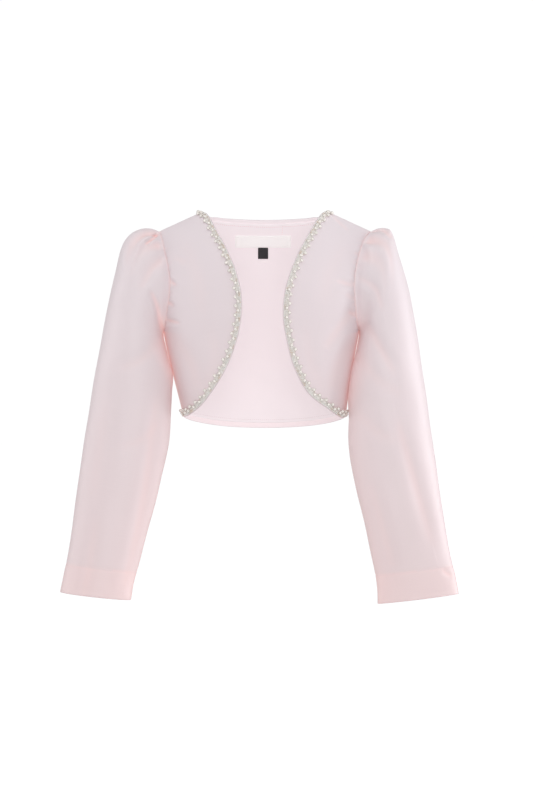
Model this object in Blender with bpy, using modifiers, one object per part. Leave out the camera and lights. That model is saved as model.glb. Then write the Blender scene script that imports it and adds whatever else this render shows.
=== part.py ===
"""Child's bolero jacket in satin: cropped, open at the front, with long gathered sleeves.

It holds the shape that it has when it is worn, and it is hollow. Z is up and the front
faces -Y. The origin lies midway between the two points where the shoulder seams meet the
neck, which is where the garment hangs from its wearer. Sizes below are in millimetres.
"""

import bisect
import math
from collections import namedtuple

import bpy
import numpy as np
from mathutils import Vector
from mathutils.bvhtree import BVHTree

METRES = 0.001
LEFT = -1.0
RIGHT = 1.0
SIDE_NAMES = {LEFT: "left", RIGHT: "right"}

# Cloth and seams
WALL = 1.2
LINING_WALL = 1.0
SEAM_GAP = 0.3
LINING_GAP = 0.6

# Shoulders: the seam runs straight from the neck point to the tip of the shoulder
NECK_OUT = 80.0
TIP_OUT = 132.5
TIP_DROP = 24.0
SHOULDER_PITCH = TIP_DROP / (TIP_OUT - NECK_OUT)

# Rounding of the body form below the shoulder seam
ROUNDED_SHARE = 0.3
CHEST_DROP = 130.0
TIP_CHEST_DROP = 100.0
CHEST_HANDLE = 60.0
LEVEL_FALL = 3.0 * CHEST_HANDLE
ROUNDNESS = 2.0 / 2.3

# Armholes and hem, as drops below the neck points
ARMPIT_DROP = 150.0
HEM_DROP = 256.0
BACK_HEM_DIP = 14.0
BACK_HEM_CURVE = 1.3

# Half widths to the left and right side seams, and depths of front and back, by height
Girth = namedtuple("Girth", "drop left right front back")
GIRTHS = (
    Girth(0, 135.0, 135.0, 70, 62),
    Girth(40, 134.0, 132.0, 74, 66),
    Girth(75, 132.5, 127.0, 76, 68),
    Girth(100, 131.0, 123.0, 76, 70),
    Girth(150, 127.0, 117.5, 76, 72),
    Girth(200, 116.0, 108.6, 74, 72),
    Girth(256, 102.0, 101.0, 70, 70),
    Girth(285, 96.0, 97.0, 68, 69),
)

# How far out each armhole seam lies, by its turn from the shoulder tip to the armpit
ArmholePoint = namedtuple("ArmholePoint", "turn front_left front_right back_left back_right")
ARMHOLE = (
    ArmholePoint(0, 132.5, 132.5, 132.5, 132.5),
    ArmholePoint(45, 126.5, 120.5, 128.5, 124.0),
    ArmholePoint(90, 118.0, 111.0, 123.0, 117.0),
    ArmholePoint(135, 122.5, 113.5, 125.0, 116.5),
    ArmholePoint(180, 127.0, 117.5, 127.0, 117.5),
)

# The open edge of each front, from the neck point to the side seam at the hem
EdgePoint = namedtuple("EdgePoint", "left_out left_drop right_out right_drop")
FRONT_EDGE = (
    EdgePoint(80.0, 0, 80.0, 0),
    EdgePoint(63.0, 19, 61.0, 17),
    EdgePoint(46.0, 51, 47.0, 42),
    EdgePoint(34.5, 80, 34.0, 70),
    EdgePoint(28.5, 110, 24.0, 104),
    EdgePoint(29.5, 137, 22.0, 130),
    EdgePoint(39.0, 176, 26.5, 162),
    EdgePoint(50.0, 201, 36.5, 197),
    EdgePoint(66.0, 226, 56.0, 230),
    EdgePoint(78.0, 241, 76.0, 245),
    EdgePoint(93.0, 253, 92.0, 256),
    EdgePoint(102.0, 256, 101.0, 256),
)

# The neck edge of the back, from a neck point to the middle
NeckPoint = namedtuple("NeckPoint", "out drop")
BACK_NECK = (
    NeckPoint(80.0, 0),
    NeckPoint(72.0, 3.5),
    NeckPoint(60.0, 5.5),
    NeckPoint(40.0, 7.0),
    NeckPoint(0.0, 7.8),
)

# Sleeve sections: the outer and inner ends of each slanting section as seen from the
# front, half its depth, and how far its middle lies forward of the side seam
Section = namedtuple("Section", "outer_out outer_drop inner_out inner_drop half_depth forward")
SLEEVES = {
    LEFT: (
        Section(136.0, 20.8, 129.0, 149.6, 38.0, 0),
        Section(142.5, 18.8, 129.6, 151.2, 40.0, 0.5),
        Section(153.0, 20.6, 129.2, 153.6, 41.5, 1),
        Section(163.5, 26.5, 128.4, 156.5, 42.5, 2),
        Section(173.0, 35.0, 127.5, 159.5, 43.0, 3),
        Section(180.0, 48.0, 126.2, 163.0, 43.0, 4),
        Section(186.0, 72.0, 124.7, 169.0, 43.0, 6),
        Section(192.5, 98.0, 122.9, 177.0, 42.5, 8),
        Section(199.0, 132.0, 120.3, 188.5, 42.0, 11),
        Section(206.2, 173.0, 116.4, 206.0, 41.0, 14),
        Section(214.9, 224.0, 116.8, 243.0, 39.5, 18),
        Section(222.0, 270.0, 119.8, 290.0, 38.0, 22),
        Section(229.5, 319.0, 129.8, 337.0, 35.0, 27),
        Section(236.0, 370.5, 142.0, 386.5, 32.0, 33),
        Section(242.5, 422.5, 154.5, 435.5, 29.0, 40),
        Section(248.5, 452.0, 161.7, 463.0, 27.5, 44),
        Section(252.8, 474.0, 165.0, 484.0, 27.0, 47),
    ),
    RIGHT: (
        Section(135.5, 21.8, 119.4, 149.6, 38.0, 0),
        Section(141.0, 19.6, 120.1, 151.2, 40.0, 0.5),
        Section(149.0, 19.3, 119.8, 153.6, 41.5, 1),
        Section(156.5, 22.5, 119.1, 156.5, 42.5, 2),
        Section(161.5, 34.0, 118.2, 159.5, 43.0, 4),
        Section(166.5, 52.0, 117.0, 163.5, 43.5, 6),
        Section(172.5, 73.0, 115.7, 169.5, 43.5, 8),
        Section(180.0, 103.0, 113.9, 178.0, 43.0, 11),
        Section(186.0, 136.0, 111.6, 190.0, 42.0, 14),
        Section(192.0, 172.0, 108.9, 206.0, 41.0, 17),
        Section(199.5, 224.0, 104.6, 243.0, 39.5, 21),
        Section(206.3, 275.0, 104.4, 295.5, 38.0, 25),
        Section(213.6, 324.0, 111.9, 342.0, 34.0, 30),
        Section(221.0, 376.5, 123.8, 394.5, 29.0, 36),
        Section(229.0, 425.5, 134.0, 440.5, 24.0, 42),
        Section(234.6, 452.0, 137.5, 465.0, 21.5, 46),
        Section(239.0, 475.0, 138.6, 487.5, 20.0, 48),
    ),
}
OWN_OVAL_AFTER = 6

# Gathers of each sleeve head: the turn from the top where each starts (front positive),
# how far it drifts round, its half width in turn, its depth and its reach from the seam
Gather = namedtuple("Gather", "turn drift width depth reach")
GATHERS = {
    LEFT: (
        Gather(-56, -14, 6.0, 2.4, 34),
        Gather(-34, -12, 6.0, 3.2, 44),
        Gather(-12, -6, 6.0, 2.6, 34),
        Gather(15, 30, 7.0, 8.0, 52),
        Gather(45, 16, 6.0, 3.6, 44),
        Gather(68, 12, 7.0, 2.0, 34),
    ),
    RIGHT: (
        Gather(-58, -12, 6.0, 2.2, 32),
        Gather(-34, -12, 6.0, 3.0, 42),
        Gather(-12, -8, 6.0, 2.8, 36),
        Gather(11, 10, 6.0, 3.4, 40),
        Gather(36, 16, 6.5, 4.6, 50),
        Gather(62, 12, 6.5, 2.6, 38),
    ),
}
FULL_GATHER_AT = 6.0

# Braid with pearls on each front edge, measured in from the edge
TRIM_NEAR = 1.0
TRIM_FAR = 9.0
PEARL_PITCH = 11.8
ROWS_PER_PEARL = 4
BRAID_HEIGHT = 1.1
PEARL_HEIGHT = 2.9
TRIM_SQUARE_AFTER = 14.0

# The lining stops short of the edges of the back, in rows and columns of the back's grid
LINING_BELOW_TOP = 0.35
LINING_ABOVE_HEM = 0.35
LINING_SIDE_INSET = 0.15
LINING_TOP_EASE = 1.0

# Label and size tab on the back lining
LABEL_MIDDLE = -2.5
LABEL_WIDTH = 70.0
LABEL_TOP_DROP = 27.5
LABEL_HEIGHT = 13.5
TAB_MIDDLE = -2.5
TAB_WIDTH = 12.5
TAB_HEIGHT = 14.0
LABEL_WALL = 1.0
PATCH_STEP = 6.0

# How finely each piece is divided
ARMHOLE_ROWS = 11
SIDE_ROWS = 6
FRONT_COLUMNS = 11
YOKE_COLUMNS = 5
NECK_COLUMNS = 12
HEAD_TURN = 66.0
HEAD_STEPS = 20
UNDERARM_STEPS = 18


def slope_at(keys, values, i, level_ends):
    """The slope of a smooth curve at one point of its table."""
    if i == 0 or i == len(keys) - 1:
        j = min(i, len(keys) - 2)
        return 0.0 if level_ends else (values[j + 1] - values[j]) / (keys[j + 1] - keys[j])
    before, after = keys[i] - keys[i - 1], keys[i + 1] - keys[i]
    climb, next_climb = (values[i] - values[i - 1]) / before, (values[i + 1] - values[i]) / after
    return (climb * after + next_climb * before) / (before + after)


def through(keys, values, at, level_ends=False):
    """A smooth curve through the points of a short table."""
    at = min(max(at, keys[0]), keys[-1])
    i = min(bisect.bisect_right(keys, at) - 1, len(keys) - 2)
    span = keys[i + 1] - keys[i]
    t = (at - keys[i]) / span
    start, end = slope_at(keys, values, i, level_ends), slope_at(keys, values, i + 1, level_ends)
    bend = span * ((t - 2 * t**2 + t**3) * start + (t**3 - t**2) * end)
    return values[i] + (3 * t**2 - 2 * t**3) * (values[i + 1] - values[i]) + bend


def blend(a, b, share):
    return a + (b - a) * share


def unit(vector):
    return vector / np.linalg.norm(vector)


def columns_of(table):
    return {name: [float(getattr(row, name)) for row in table] for name in table[0]._fields}


GIRTH_COLUMNS = columns_of(GIRTHS)
ARMHOLE_COLUMNS = columns_of(ARMHOLE)


def half_width(side, drop):
    return through(GIRTH_COLUMNS["drop"], GIRTH_COLUMNS[SIDE_NAMES[side]], drop)


def shoulder_drop(out):
    return (out - NECK_OUT) * SHOULDER_PITCH


def body(side, face, angle, fall):
    """A point of the body form, with its front or back face.

    The angle goes round from the middle (0) to the side seam (90), and the fall goes down
    from the shoulder line. The section is a rounded oval, and the top of the form curves
    over to the shoulder line.
    """
    across = math.sin(math.radians(angle)) ** ROUNDNESS
    away = max(math.cos(math.radians(angle)), 0.0) ** ROUNDNESS
    chest = blend(CHEST_DROP, TIP_CHEST_DROP, across**2)
    s = min(fall / LEVEL_FALL, 1.0)
    below = 3 * (1 - s) * s**2 * (chest - CHEST_HANDLE) + s**3 * chest + max(fall - LEVEL_FALL, 0)
    swell = 3 * (1 - s) ** 2 * s * ROUNDED_SHARE + 3 * (1 - s) * s**2 + s**3
    drop = fall
    for _ in range(8):
        out = half_width(side, drop) * across
        drop = shoulder_drop(out) + below
    depth = through(GIRTH_COLUMNS["drop"], GIRTH_COLUMNS[face], drop) * away * swell
    return np.array([side * out, depth if face == "back" else -depth, -drop])


def fall_at(side, face, angle, drop):
    """How far down the form a drop below the neck points lies, at one angle."""
    low, high = 0.0, LEVEL_FALL + HEM_DROP
    for _ in range(26):
        middle = (low + high) / 2
        if -body(side, face, angle, middle)[2] < drop:
            low = middle
        else:
            high = middle
    return middle if middle > 0.01 else 0.0


def on_form(side, face, out, drop):
    """(angle, fall) of the place that lies so far out and so far down, seen from the front."""
    ratio = min(out / half_width(side, drop), 1.0)
    angle = math.degrees(math.asin(ratio ** (1 / ROUNDNESS)))
    return np.array([angle, fall_at(side, face, angle, drop)])


def slopes(side, face, angle, fall):
    """Directions on the form as the angle grows and as the fall grows."""
    less, more = max(angle - 0.05, 0.01), min(angle + 0.05, 90.0)
    round_way = (body(side, face, more, fall) - body(side, face, less, fall)) / (more - less)
    up, down = max(fall - 0.05, 0.0), fall + 0.05
    down_way = (body(side, face, angle, down) - body(side, face, angle, up)) / (down - up)
    return round_way, down_way


def outward(side, face, angle, fall):
    """The direction straight out of the cloth. On a seam it stays in the seam's plane."""
    round_way, down_way = slopes(side, face, angle, fall)
    normal = np.cross(round_way, down_way) * side * (1 if face == "front" else -1)
    normal = -normal if normal[1] * (1 if face == "back" else -1) < 0 else normal
    if fall < 0.02 or angle > 89.9:
        normal[1] = 0.0
        normal = normal * np.sign(normal[2] if fall < 0.02 else normal[0] * side)
    return unit(normal)


def armhole_place(side, face, turn):
    """(angle, fall) on the armhole seam; the turn is 0 at the shoulder and 180 at the armpit."""
    middle = (TIP_DROP + ARMPIT_DROP) / 2
    drop = middle - (ARMPIT_DROP - TIP_DROP) / 2 * math.cos(math.radians(turn))
    outs = ARMHOLE_COLUMNS[face + "_" + SIDE_NAMES[side]]
    out = through(ARMHOLE_COLUMNS["turn"], outs, turn, level_ends=True)
    if turn <= 0:
        return np.array([on_form(side, face, TIP_OUT, TIP_DROP)[0], 0.0])
    if turn >= 180:
        return np.array([90.0, fall_at(side, face, 90.0, ARMPIT_DROP)])
    return on_form(side, face, out, drop)


def outer_places(side, face):
    """(angle, fall) down the outer edge of a front or back: the armhole, then the side seam."""
    places = [armhole_place(side, face, 180 * i / ARMHOLE_ROWS) for i in range(ARMHOLE_ROWS + 1)]
    for i in range(1, SIDE_ROWS + 1):
        drop = blend(ARMPIT_DROP, HEM_DROP, i / SIDE_ROWS)
        places.append(np.array([90.0, fall_at(side, face, 90.0, drop)]))
    return places


class FrontEdge:
    """The open edge of one front as a smooth line on the form, measured from the neck."""

    def __init__(self, side):
        self.side = side
        name = SIDE_NAMES[side]
        self.places = []
        for row in FRONT_EDGE:
            out, drop = getattr(row, name + "_out"), getattr(row, name + "_drop")
            self.places.append(on_form(side, "front", out, drop))
        self.places[0][1] = 0.0
        self.places[-1][0] = 90.0
        points = [body(side, "front", *place) for place in self.places]
        gaps = [np.linalg.norm(b - a) for a, b in zip(points, points[1:])]
        self.marks = [0.0]
        for gap in gaps:
            self.marks.append(self.marks[-1] + float(gap))
        self.length = self.marks[-1]

    def place(self, along):
        angle = through(self.marks, [p[0] for p in self.places], along)
        fall = through(self.marks, [p[1] for p in self.places], along)
        return np.array([min(angle, 90.0), max(fall, 0.0)])

    def heading(self, along):
        before = body(self.side, "front", *self.place(max(along - 1, 0)))
        after = body(self.side, "front", *self.place(min(along + 1, self.length)))
        return unit(after - before)

    def inside(self, along, distance, steps=4):
        """The place on the cloth that lies this far in from the edge."""
        place = self.place(along)
        heading = self.heading(along)
        square = min(along / TRIM_SQUARE_AFTER, 1.0)
        for _ in range(steps):
            round_way, down_way = slopes(self.side, "front", *place)
            normal = outward(self.side, "front", *place)
            inward = np.cross(normal, heading) * self.side
            inward = unit(blend(unit(round_way), inward, square))
            ways = np.stack([round_way, down_way], axis=1)
            change = np.linalg.lstsq(ways, inward * distance / steps, rcond=None)[0]
            place = place + change
            place = np.array([min(place[0], 90.0), max(place[1], 0.0)])
        return place


def collection_for(name, hidden=False):
    group = bpy.data.collections.new(name)
    group.hide_render = hidden
    bpy.context.scene.collection.children.link(group)
    return group


def finish(name, colour, roughness, metallic=0.0):
    material = bpy.data.materials.new(name)
    material.use_nodes = True
    shader = material.node_tree.nodes["Principled BSDF"]
    shader.inputs["Base Color"].default_value = (*colour, 1.0)
    shader.inputs["Roughness"].default_value = roughness
    shader.inputs["Metallic"].default_value = metallic
    return material


def add_piece(name, points, faces, group, material):
    mesh = bpy.data.meshes.new(name)
    mesh.from_pydata([tuple(np.asarray(p) * METRES) for p in points], [], faces)
    mesh.validate()
    mesh.shade_smooth()
    mesh.set_sharp_from_angle(angle=math.radians(40))
    mesh.materials.append(material)
    piece = bpy.data.objects.new(name, mesh)
    group.objects.link(piece)
    return piece


def grid_faces(rows, columns, closed=False):
    """Faces of a grid of points, row by row. A closed grid joins its last column to its first."""
    faces = []
    for r in range(rows - 1):
        for c in range(columns if closed else columns - 1):
            d = (c + 1) % columns
            faces.append((r * columns + c, r * columns + d, (r + 1) * columns + d, (r + 1) * columns + c))
    return faces


def volume_of(points, faces):
    total = 0.0
    for face in faces:
        for b, c in zip(face[1:-1], face[2:]):
            total += np.dot(points[face[0]], np.cross(points[b], points[c]))
    return total


def wall_panel(name, grid, normals, thickness, group, material):
    """A cloth panel: a grid of outer points, and inner points a wall's thickness behind them.

    Each square is cut along the same diagonal, so that layers that lie together stay parallel.
    """
    rows, columns = len(grid), len(grid[0])
    outer = [p for row in grid for p in row]
    inner = [p - n * thickness for row, ways in zip(grid, normals) for p, n in zip(row, ways)]
    count = rows * columns
    faces = []
    for a, b, c, d in grid_faces(rows, columns):
        faces += [(a, b, c), (a, c, d)]
        faces += [(c + count, b + count, a + count), (d + count, c + count, a + count)]
    rim = [c for c in range(columns)]
    rim += [r * columns + columns - 1 for r in range(1, rows)]
    rim += [(rows - 1) * columns + c for c in range(columns - 2, -1, -1)]
    rim += [r * columns for r in range(rows - 2, 0, -1)]
    for a, b in zip(rim, rim[1:] + rim[:1]):
        faces.append((b, a, a + count, b + count))
    points = outer + inner
    if volume_of(points, faces) < 0:
        faces = [tuple(reversed(face)) for face in faces]
    return add_piece(name, points, faces, group, material)


def panel_points(side_of, face, places):
    """Points and outward directions of a grid of (angle, fall) places."""
    grid, normals = [], []
    for row in places:
        grid.append([body(side_of(angle), face, abs(angle), fall) for angle, fall in row])
        normals.append([outward(side_of(angle), face, abs(angle), fall) for angle, fall in row])
    return grid, normals


def part_at_seams(grid, face):
    """Keeps the seam edges, which lie in the plane y = 0, half a seam gap away from it."""
    nearest = SEAM_GAP / 2
    for row in grid:
        for point in row:
            if abs(point[1]) < nearest:
                point[1] = nearest if face == "back" else -nearest


def make_front(side, edge, group, material):
    ends = outer_places(side, "front")
    last = len(ends) - 1
    hem_start = edge.marks[-2]
    drops = [-body(side, "front", *end)[2] for end in ends]
    places = []
    for i, end in enumerate(ends):
        matched = (drops[i] - TIP_DROP) / (HEM_DROP - TIP_DROP)
        along = hem_start * (0.5 * i / last + 0.5 * matched)
        start = edge.place(along)
        row = [blend(start, end, c / FRONT_COLUMNS) for c in range(FRONT_COLUMNS + 1)]
        if i == last:
            stretch = edge.length - hem_start
            row = [edge.place(hem_start + stretch * c / FRONT_COLUMNS) for c in range(FRONT_COLUMNS + 1)]
        places.append(row)
    grid, normals = panel_points(lambda angle: side, "front", places)
    part_at_seams(grid, "front")
    return wall_panel("front_" + SIDE_NAMES[side], grid, normals, WALL, group, material)


def back_places():
    """A grid of (signed angle, fall) over the back, and the share of its columns at the neck."""
    sides = {side: outer_places(side, "back") for side in (LEFT, RIGHT)}
    neck = {}
    for side in (LEFT, RIGHT):
        found = [on_form(side, "back", point.out, point.drop) for point in reversed(BACK_NECK)]
        found[-1][1] = 0.0
        neck[side] = found
    neck_share = neck[RIGHT][-1][0] / sides[RIGHT][0][0]
    shares = [blend(-1, -neck_share, c / YOKE_COLUMNS) for c in range(YOKE_COLUMNS)]
    shares += [blend(-neck_share, neck_share, c / NECK_COLUMNS) for c in range(NECK_COLUMNS)]
    shares += [blend(neck_share, 1, c / YOKE_COLUMNS) for c in range(YOKE_COLUMNS + 1)]
    places = []
    for i in range(len(sides[LEFT])):
        row = []
        for share in shares:
            side = LEFT if share < 0 else RIGHT
            tip_angle, corner = sides[side][0][0], neck[side]
            end_angle, end_fall = sides[side][i]
            top = 0.0
            if abs(share) < neck_share - 1e-6:
                top = through([p[0] for p in corner], [p[1] for p in corner], abs(share) * tip_angle)
            angle = abs(share) * end_angle
            dip = BACK_HEM_DIP * max(math.cos(math.radians(angle)), 0) ** BACK_HEM_CURVE
            bottom = fall_at(side, "back", angle, HEM_DROP + dip)
            deepest = sides[side][-1][1]
            down = end_fall / deepest
            fall = blend(top, bottom, down)
            row.append((side * angle, fall))
        places.append(row)
    return places


def side_of(angle):
    return LEFT if angle < 0 else RIGHT


def back_grid():
    grid, normals = panel_points(side_of, "back", back_places())
    part_at_seams(grid, "back")
    return grid, normals


def between(line, at):
    """The point at a fractional place along a list of points."""
    i = min(int(at), len(line) - 2)
    return blend(line[i], line[i + 1], at - i)


def make_lining(grid, normals, group, material):
    """The lining lies on the inner points of the back and stops a little short of its edges."""
    lain = []
    for r, (row, ways) in enumerate(zip(grid, normals)):
        inset = WALL + LINING_GAP + (LINING_TOP_EASE if r == 0 else 0.0)
        lain.append([p - n * inset for p, n in zip(row, ways)])
    last_row, last_column = len(grid) - 1, len(grid[0]) - 1
    columns = [LINING_SIDE_INSET] + list(range(1, last_column)) + [last_column - LINING_SIDE_INSET]
    strips, strip_ways = [], []
    for column in columns:
        line = [between(row, column) for row in lain]
        ways = [between(row, column) for row in normals]
        rows = [LINING_BELOW_TOP] + list(range(1, last_row)) + [last_row - LINING_ABOVE_HEM]
        strips.append([between(line, row) for row in rows])
        strip_ways.append([unit(between(ways, row)) for row in rows])
    lining_grid, lining_normals = list(zip(*strips)), list(zip(*strip_ways))
    return wall_panel("back_lining", lining_grid, lining_normals, LINING_WALL, group, material)


def sleeve_turns():
    """Turns round the sleeve from the top, closer together over the gathered head."""
    head = [blend(-HEAD_TURN, HEAD_TURN, i / HEAD_STEPS) for i in range(HEAD_STEPS)]
    rest = [blend(HEAD_TURN, 360 - HEAD_TURN, i / UNDERARM_STEPS) for i in range(UNDERARM_STEPS)]
    return head + rest


def armhole_edges(side):
    """The armhole edges of the front and the back, as the points of their panels."""
    edges = {}
    for face in ("front", "back"):
        places = outer_places(side, face)[: ARMHOLE_ROWS + 1]
        edges[face] = [body(side, face, *place) for place in places]
        part_at_seams([edges[face]], face)
    return edges


def armhole_point(side, turn, edges):
    """A point of the armhole seam on the sleeve's side of the gap."""
    turn = (turn + 180) % 360 - 180
    face = "front" if turn >= 0 else "back"
    here = armhole_place(side, face, abs(turn))
    low = body(side, face, *armhole_place(side, face, max(abs(turn) - 1, 0)))
    high = body(side, face, *armhole_place(side, face, min(abs(turn) + 1, 180)))
    away = np.cross(high - low, outward(side, face, *here))
    hole_middle = np.array([side * TIP_OUT, 0.0, -(TIP_DROP + ARMPIT_DROP) / 2])
    point = between(edges[face], abs(turn) * ARMHOLE_ROWS / 180)
    away = unit(away) * (1 if np.dot(away, hole_middle - point) > 0 else -1)
    return point + away * SEAM_GAP


def gathers_at(side, turn, away):
    """How deep the gathers draw the sleeve head in, at a turn and a distance from the seam."""
    turn = (turn + 180) % 360 - 180
    depth = 0.0
    for gather in GATHERS[side]:
        along = min(away / gather.reach, 1.0)
        swell = min(away / FULL_GATHER_AT, 1.0) * (1 - along) ** 1.3
        width = gather.width * (1 + along)
        offset = (turn - gather.turn - gather.drift * along) / width
        depth += gather.depth * swell * math.exp(-(offset**2))
    return depth


def sleeve_ring(side, section, index, seam, turns):
    """One ring of a sleeve. Near the seam it keeps some of the armhole's own shape."""
    outer = np.array([side * section.outer_out, 0.0, -section.outer_drop])
    inner = np.array([side * section.inner_out, 0.0, -section.inner_drop])
    chord = outer - inner
    bow_way = unit(np.array([-chord[2], 0.0, chord[0]]))
    seam_outer, seam_inner = seam[turns.index(0.0)], seam[turns.index(180.0)]
    seam_chord = seam_outer - seam_inner
    seam_bow = unit(np.array([-seam_chord[2], 0.0, seam_chord[0]]))
    seam_depth = max(abs(p[1]) for p in seam)
    own = min(index / OWN_OVAL_AFTER, 1.0)
    own = own * own * (3 - 2 * own)
    middle = (outer + inner) / 2 - np.array([0.0, section.forward, 0.0])
    lead = np.linalg.norm(outer - seam_outer)
    ring = []
    for turn, point in zip(turns, seam):
        offset = point - seam_inner
        up_share = np.dot(offset, seam_chord) / np.dot(seam_chord, seam_chord)
        bow = np.dot(offset, seam_bow)
        up_share = blend(up_share, (1 + math.cos(math.radians(turn))) / 2, own)
        depth = blend(point[1] / seam_depth, -math.sin(math.radians(turn)), own)
        place = inner + chord * up_share + bow_way * bow * (1 - own)
        place[1] = depth * section.half_depth - section.forward
        away = lead * max(math.cos(math.radians(turn) / 2), 0.0) ** 2
        place = place + unit(middle - place) * gathers_at(side, turn, away)
        ring.append(place)
    return ring


def make_sleeve(side, group, material):
    turns = [round(turn, 6) for turn in sleeve_turns()]
    edges = armhole_edges(side)
    seam = [armhole_point(side, turn, edges) for turn in turns]
    rings = [seam]
    for index, section in enumerate(SLEEVES[side], start=1):
        rings.append(sleeve_ring(side, section, index, seam, turns))
    points = [p for ring in rings for p in ring]
    faces = grid_faces(len(rings), len(turns), closed=True)
    if side == LEFT:
        faces = [tuple(reversed(face)) for face in faces]
    piece = add_piece("sleeve_" + SIDE_NAMES[side], points, faces, group, material)
    wall = piece.modifiers.new("Wall", "SOLIDIFY")
    wall.thickness = WALL * METRES
    wall.offset = -1.0
    return piece


def make_trim(side, edge, group, material):
    """Braid along one front edge, raised where each pearl sits."""
    pearls = round(edge.length / PEARL_PITCH)
    rows = pearls * ROWS_PER_PEARL
    outs = np.linspace(TRIM_NEAR, TRIM_FAR, 5)
    rings = []
    for i in range(rows + 1):
        along = blend(0.0, edge.length - 2 * SEAM_GAP, i / rows)
        phase = i % ROWS_PER_PEARL
        heights = [BRAID_HEIGHT] * 5
        if 0 < i < rows:
            heights[3] = PEARL_HEIGHT if phase == 0 else BRAID_HEIGHT
            heights[1] = PEARL_HEIGHT if phase == 2 else BRAID_HEIGHT
        ring, base = [], []
        for distance, height in zip(outs, heights):
            place = edge.inside(along, distance)
            point = body(side, "front", *place)
            point[1] = min(point[1], -2 * SEAM_GAP)
            normal = outward(side, "front", *place)
            ring.append(point + normal * (SEAM_GAP + height))
            base.append(point + normal * SEAM_GAP)
        rings.append(ring + [base[4], base[2], base[0]])
    points = [p for ring in rings for p in ring]
    across = len(rings[0])
    faces = grid_faces(len(rings), across, closed=True)
    faces.append(tuple(range(across - 1, -1, -1)))
    faces.append(tuple(range(rows * across, (rows + 1) * across)))
    if volume_of(points, faces) < 0:
        faces = [tuple(reversed(face)) for face in faces]
    return add_piece("trim_" + SIDE_NAMES[side], points, faces, group, material)


def make_patch(name, lining, middle, width, top_drop, height, group, material):
    """A small flat piece that lies on the inside of the back lining."""
    tree = BVHTree.FromPolygons(
        [vertex.co.copy() for vertex in lining.data.vertices],
        [tuple(polygon.vertices) for polygon in lining.data.polygons],
    )
    columns, rows = max(round(width / PATCH_STEP), 2), 2
    grid, normals = [], []
    for r in range(rows + 1):
        line, ways = [], []
        for c in range(columns + 1):
            out = middle + width * (c / columns - 0.5)
            start = Vector((out, 0.0, -top_drop - height * r / rows)) * METRES
            hit, normal, _, _ = tree.ray_cast(start, Vector((0.0, 1.0, 0.0)))
            into_room = -unit(np.array(normal)) if normal.y > 0 else unit(np.array(normal))
            line.append(np.array(hit) / METRES + into_room * (SEAM_GAP + LABEL_WALL))
            ways.append(into_room)
        grid.append(line)
        normals.append(ways)
    return wall_panel(name, grid, normals, LABEL_WALL, group, material)


def main():
    for old in list(bpy.data.objects):
        bpy.data.objects.remove(old)
    group = collection_for("bolero_jacket")
    satin = finish("pink_satin", (0.77, 0.66, 0.68), 0.38)
    pale = finish("pale_lining", (0.88, 0.78, 0.79), 0.45)
    braid = finish("silver_braid", (0.63, 0.60, 0.55), 0.35, 0.3)
    woven = finish("white_label", (0.86, 0.85, 0.83), 0.6)
    dark = finish("black_tab", (0.02, 0.02, 0.02), 0.6)
    for side in (LEFT, RIGHT):
        edge = FrontEdge(side)
        make_front(side, edge, group, satin)
        make_sleeve(side, group, satin)
        make_trim(side, edge, group, braid)
    grid, normals = back_grid()
    wall_panel("back", grid, normals, WALL, group, satin)
    lining = make_lining(grid, normals, group, pale)
    label = (LABEL_MIDDLE, LABEL_WIDTH, LABEL_TOP_DROP, LABEL_HEIGHT)
    make_patch("neck_label", lining, *label, group, woven)
    tab = (TAB_MIDDLE, TAB_WIDTH, LABEL_TOP_DROP + LABEL_HEIGHT + SEAM_GAP, TAB_HEIGHT)
    make_patch("size_tab", lining, *tab, group, dark)


main()
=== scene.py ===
# %% [markdown]
# # A child's satin bolero
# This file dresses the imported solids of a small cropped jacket: pale pink satin, a lined back,
# long sleeves gathered into the armholes, and a braid of beads and pearls along each front
# edge. The solids give every place. What is added here is what cloth has and a solid has not:
# fine folds, rolled seams, a sheen, a weave, and beads that catch the light.
# Sizes are in millimetres until a mesh is made, because that is how a cutter measures.

# %% The frame
import math
from collections import namedtuple

import bpy
import numpy as np
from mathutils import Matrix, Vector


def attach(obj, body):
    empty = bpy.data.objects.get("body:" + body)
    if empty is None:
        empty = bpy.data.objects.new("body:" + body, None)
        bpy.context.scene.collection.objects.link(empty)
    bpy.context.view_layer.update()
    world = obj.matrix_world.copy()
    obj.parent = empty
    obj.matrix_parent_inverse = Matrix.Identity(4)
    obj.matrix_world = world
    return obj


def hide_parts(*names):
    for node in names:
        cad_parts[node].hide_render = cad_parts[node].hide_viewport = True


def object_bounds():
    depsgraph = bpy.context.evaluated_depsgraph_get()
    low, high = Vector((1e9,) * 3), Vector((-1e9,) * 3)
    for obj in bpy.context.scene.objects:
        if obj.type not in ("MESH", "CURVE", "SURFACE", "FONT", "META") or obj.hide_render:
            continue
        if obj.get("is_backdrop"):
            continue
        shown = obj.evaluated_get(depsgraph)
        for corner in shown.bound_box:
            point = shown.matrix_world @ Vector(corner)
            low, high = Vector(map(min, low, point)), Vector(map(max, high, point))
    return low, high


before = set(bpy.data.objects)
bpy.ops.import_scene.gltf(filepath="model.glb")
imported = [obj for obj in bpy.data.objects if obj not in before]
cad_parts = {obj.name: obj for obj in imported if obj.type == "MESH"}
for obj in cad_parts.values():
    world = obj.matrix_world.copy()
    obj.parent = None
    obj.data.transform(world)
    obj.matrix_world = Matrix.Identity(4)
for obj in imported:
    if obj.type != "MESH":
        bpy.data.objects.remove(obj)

cad_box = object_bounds()
MM = 0.001
print("solids:", ", ".join(sorted(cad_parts)))

# %% [markdown]
# ## Camera
# The jacket was photographed straight from the front, from far enough away that the sleeves
# hardly widen. A long lens does the same: 3.5 m back, with a frame that spans 1 m at the cloth.

# %% Camera
VIEW_DISTANCE = 3.5
VIEW_SPAN = 1.0
VIEW_MIDDLE = (0.0025, -0.235)



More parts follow.
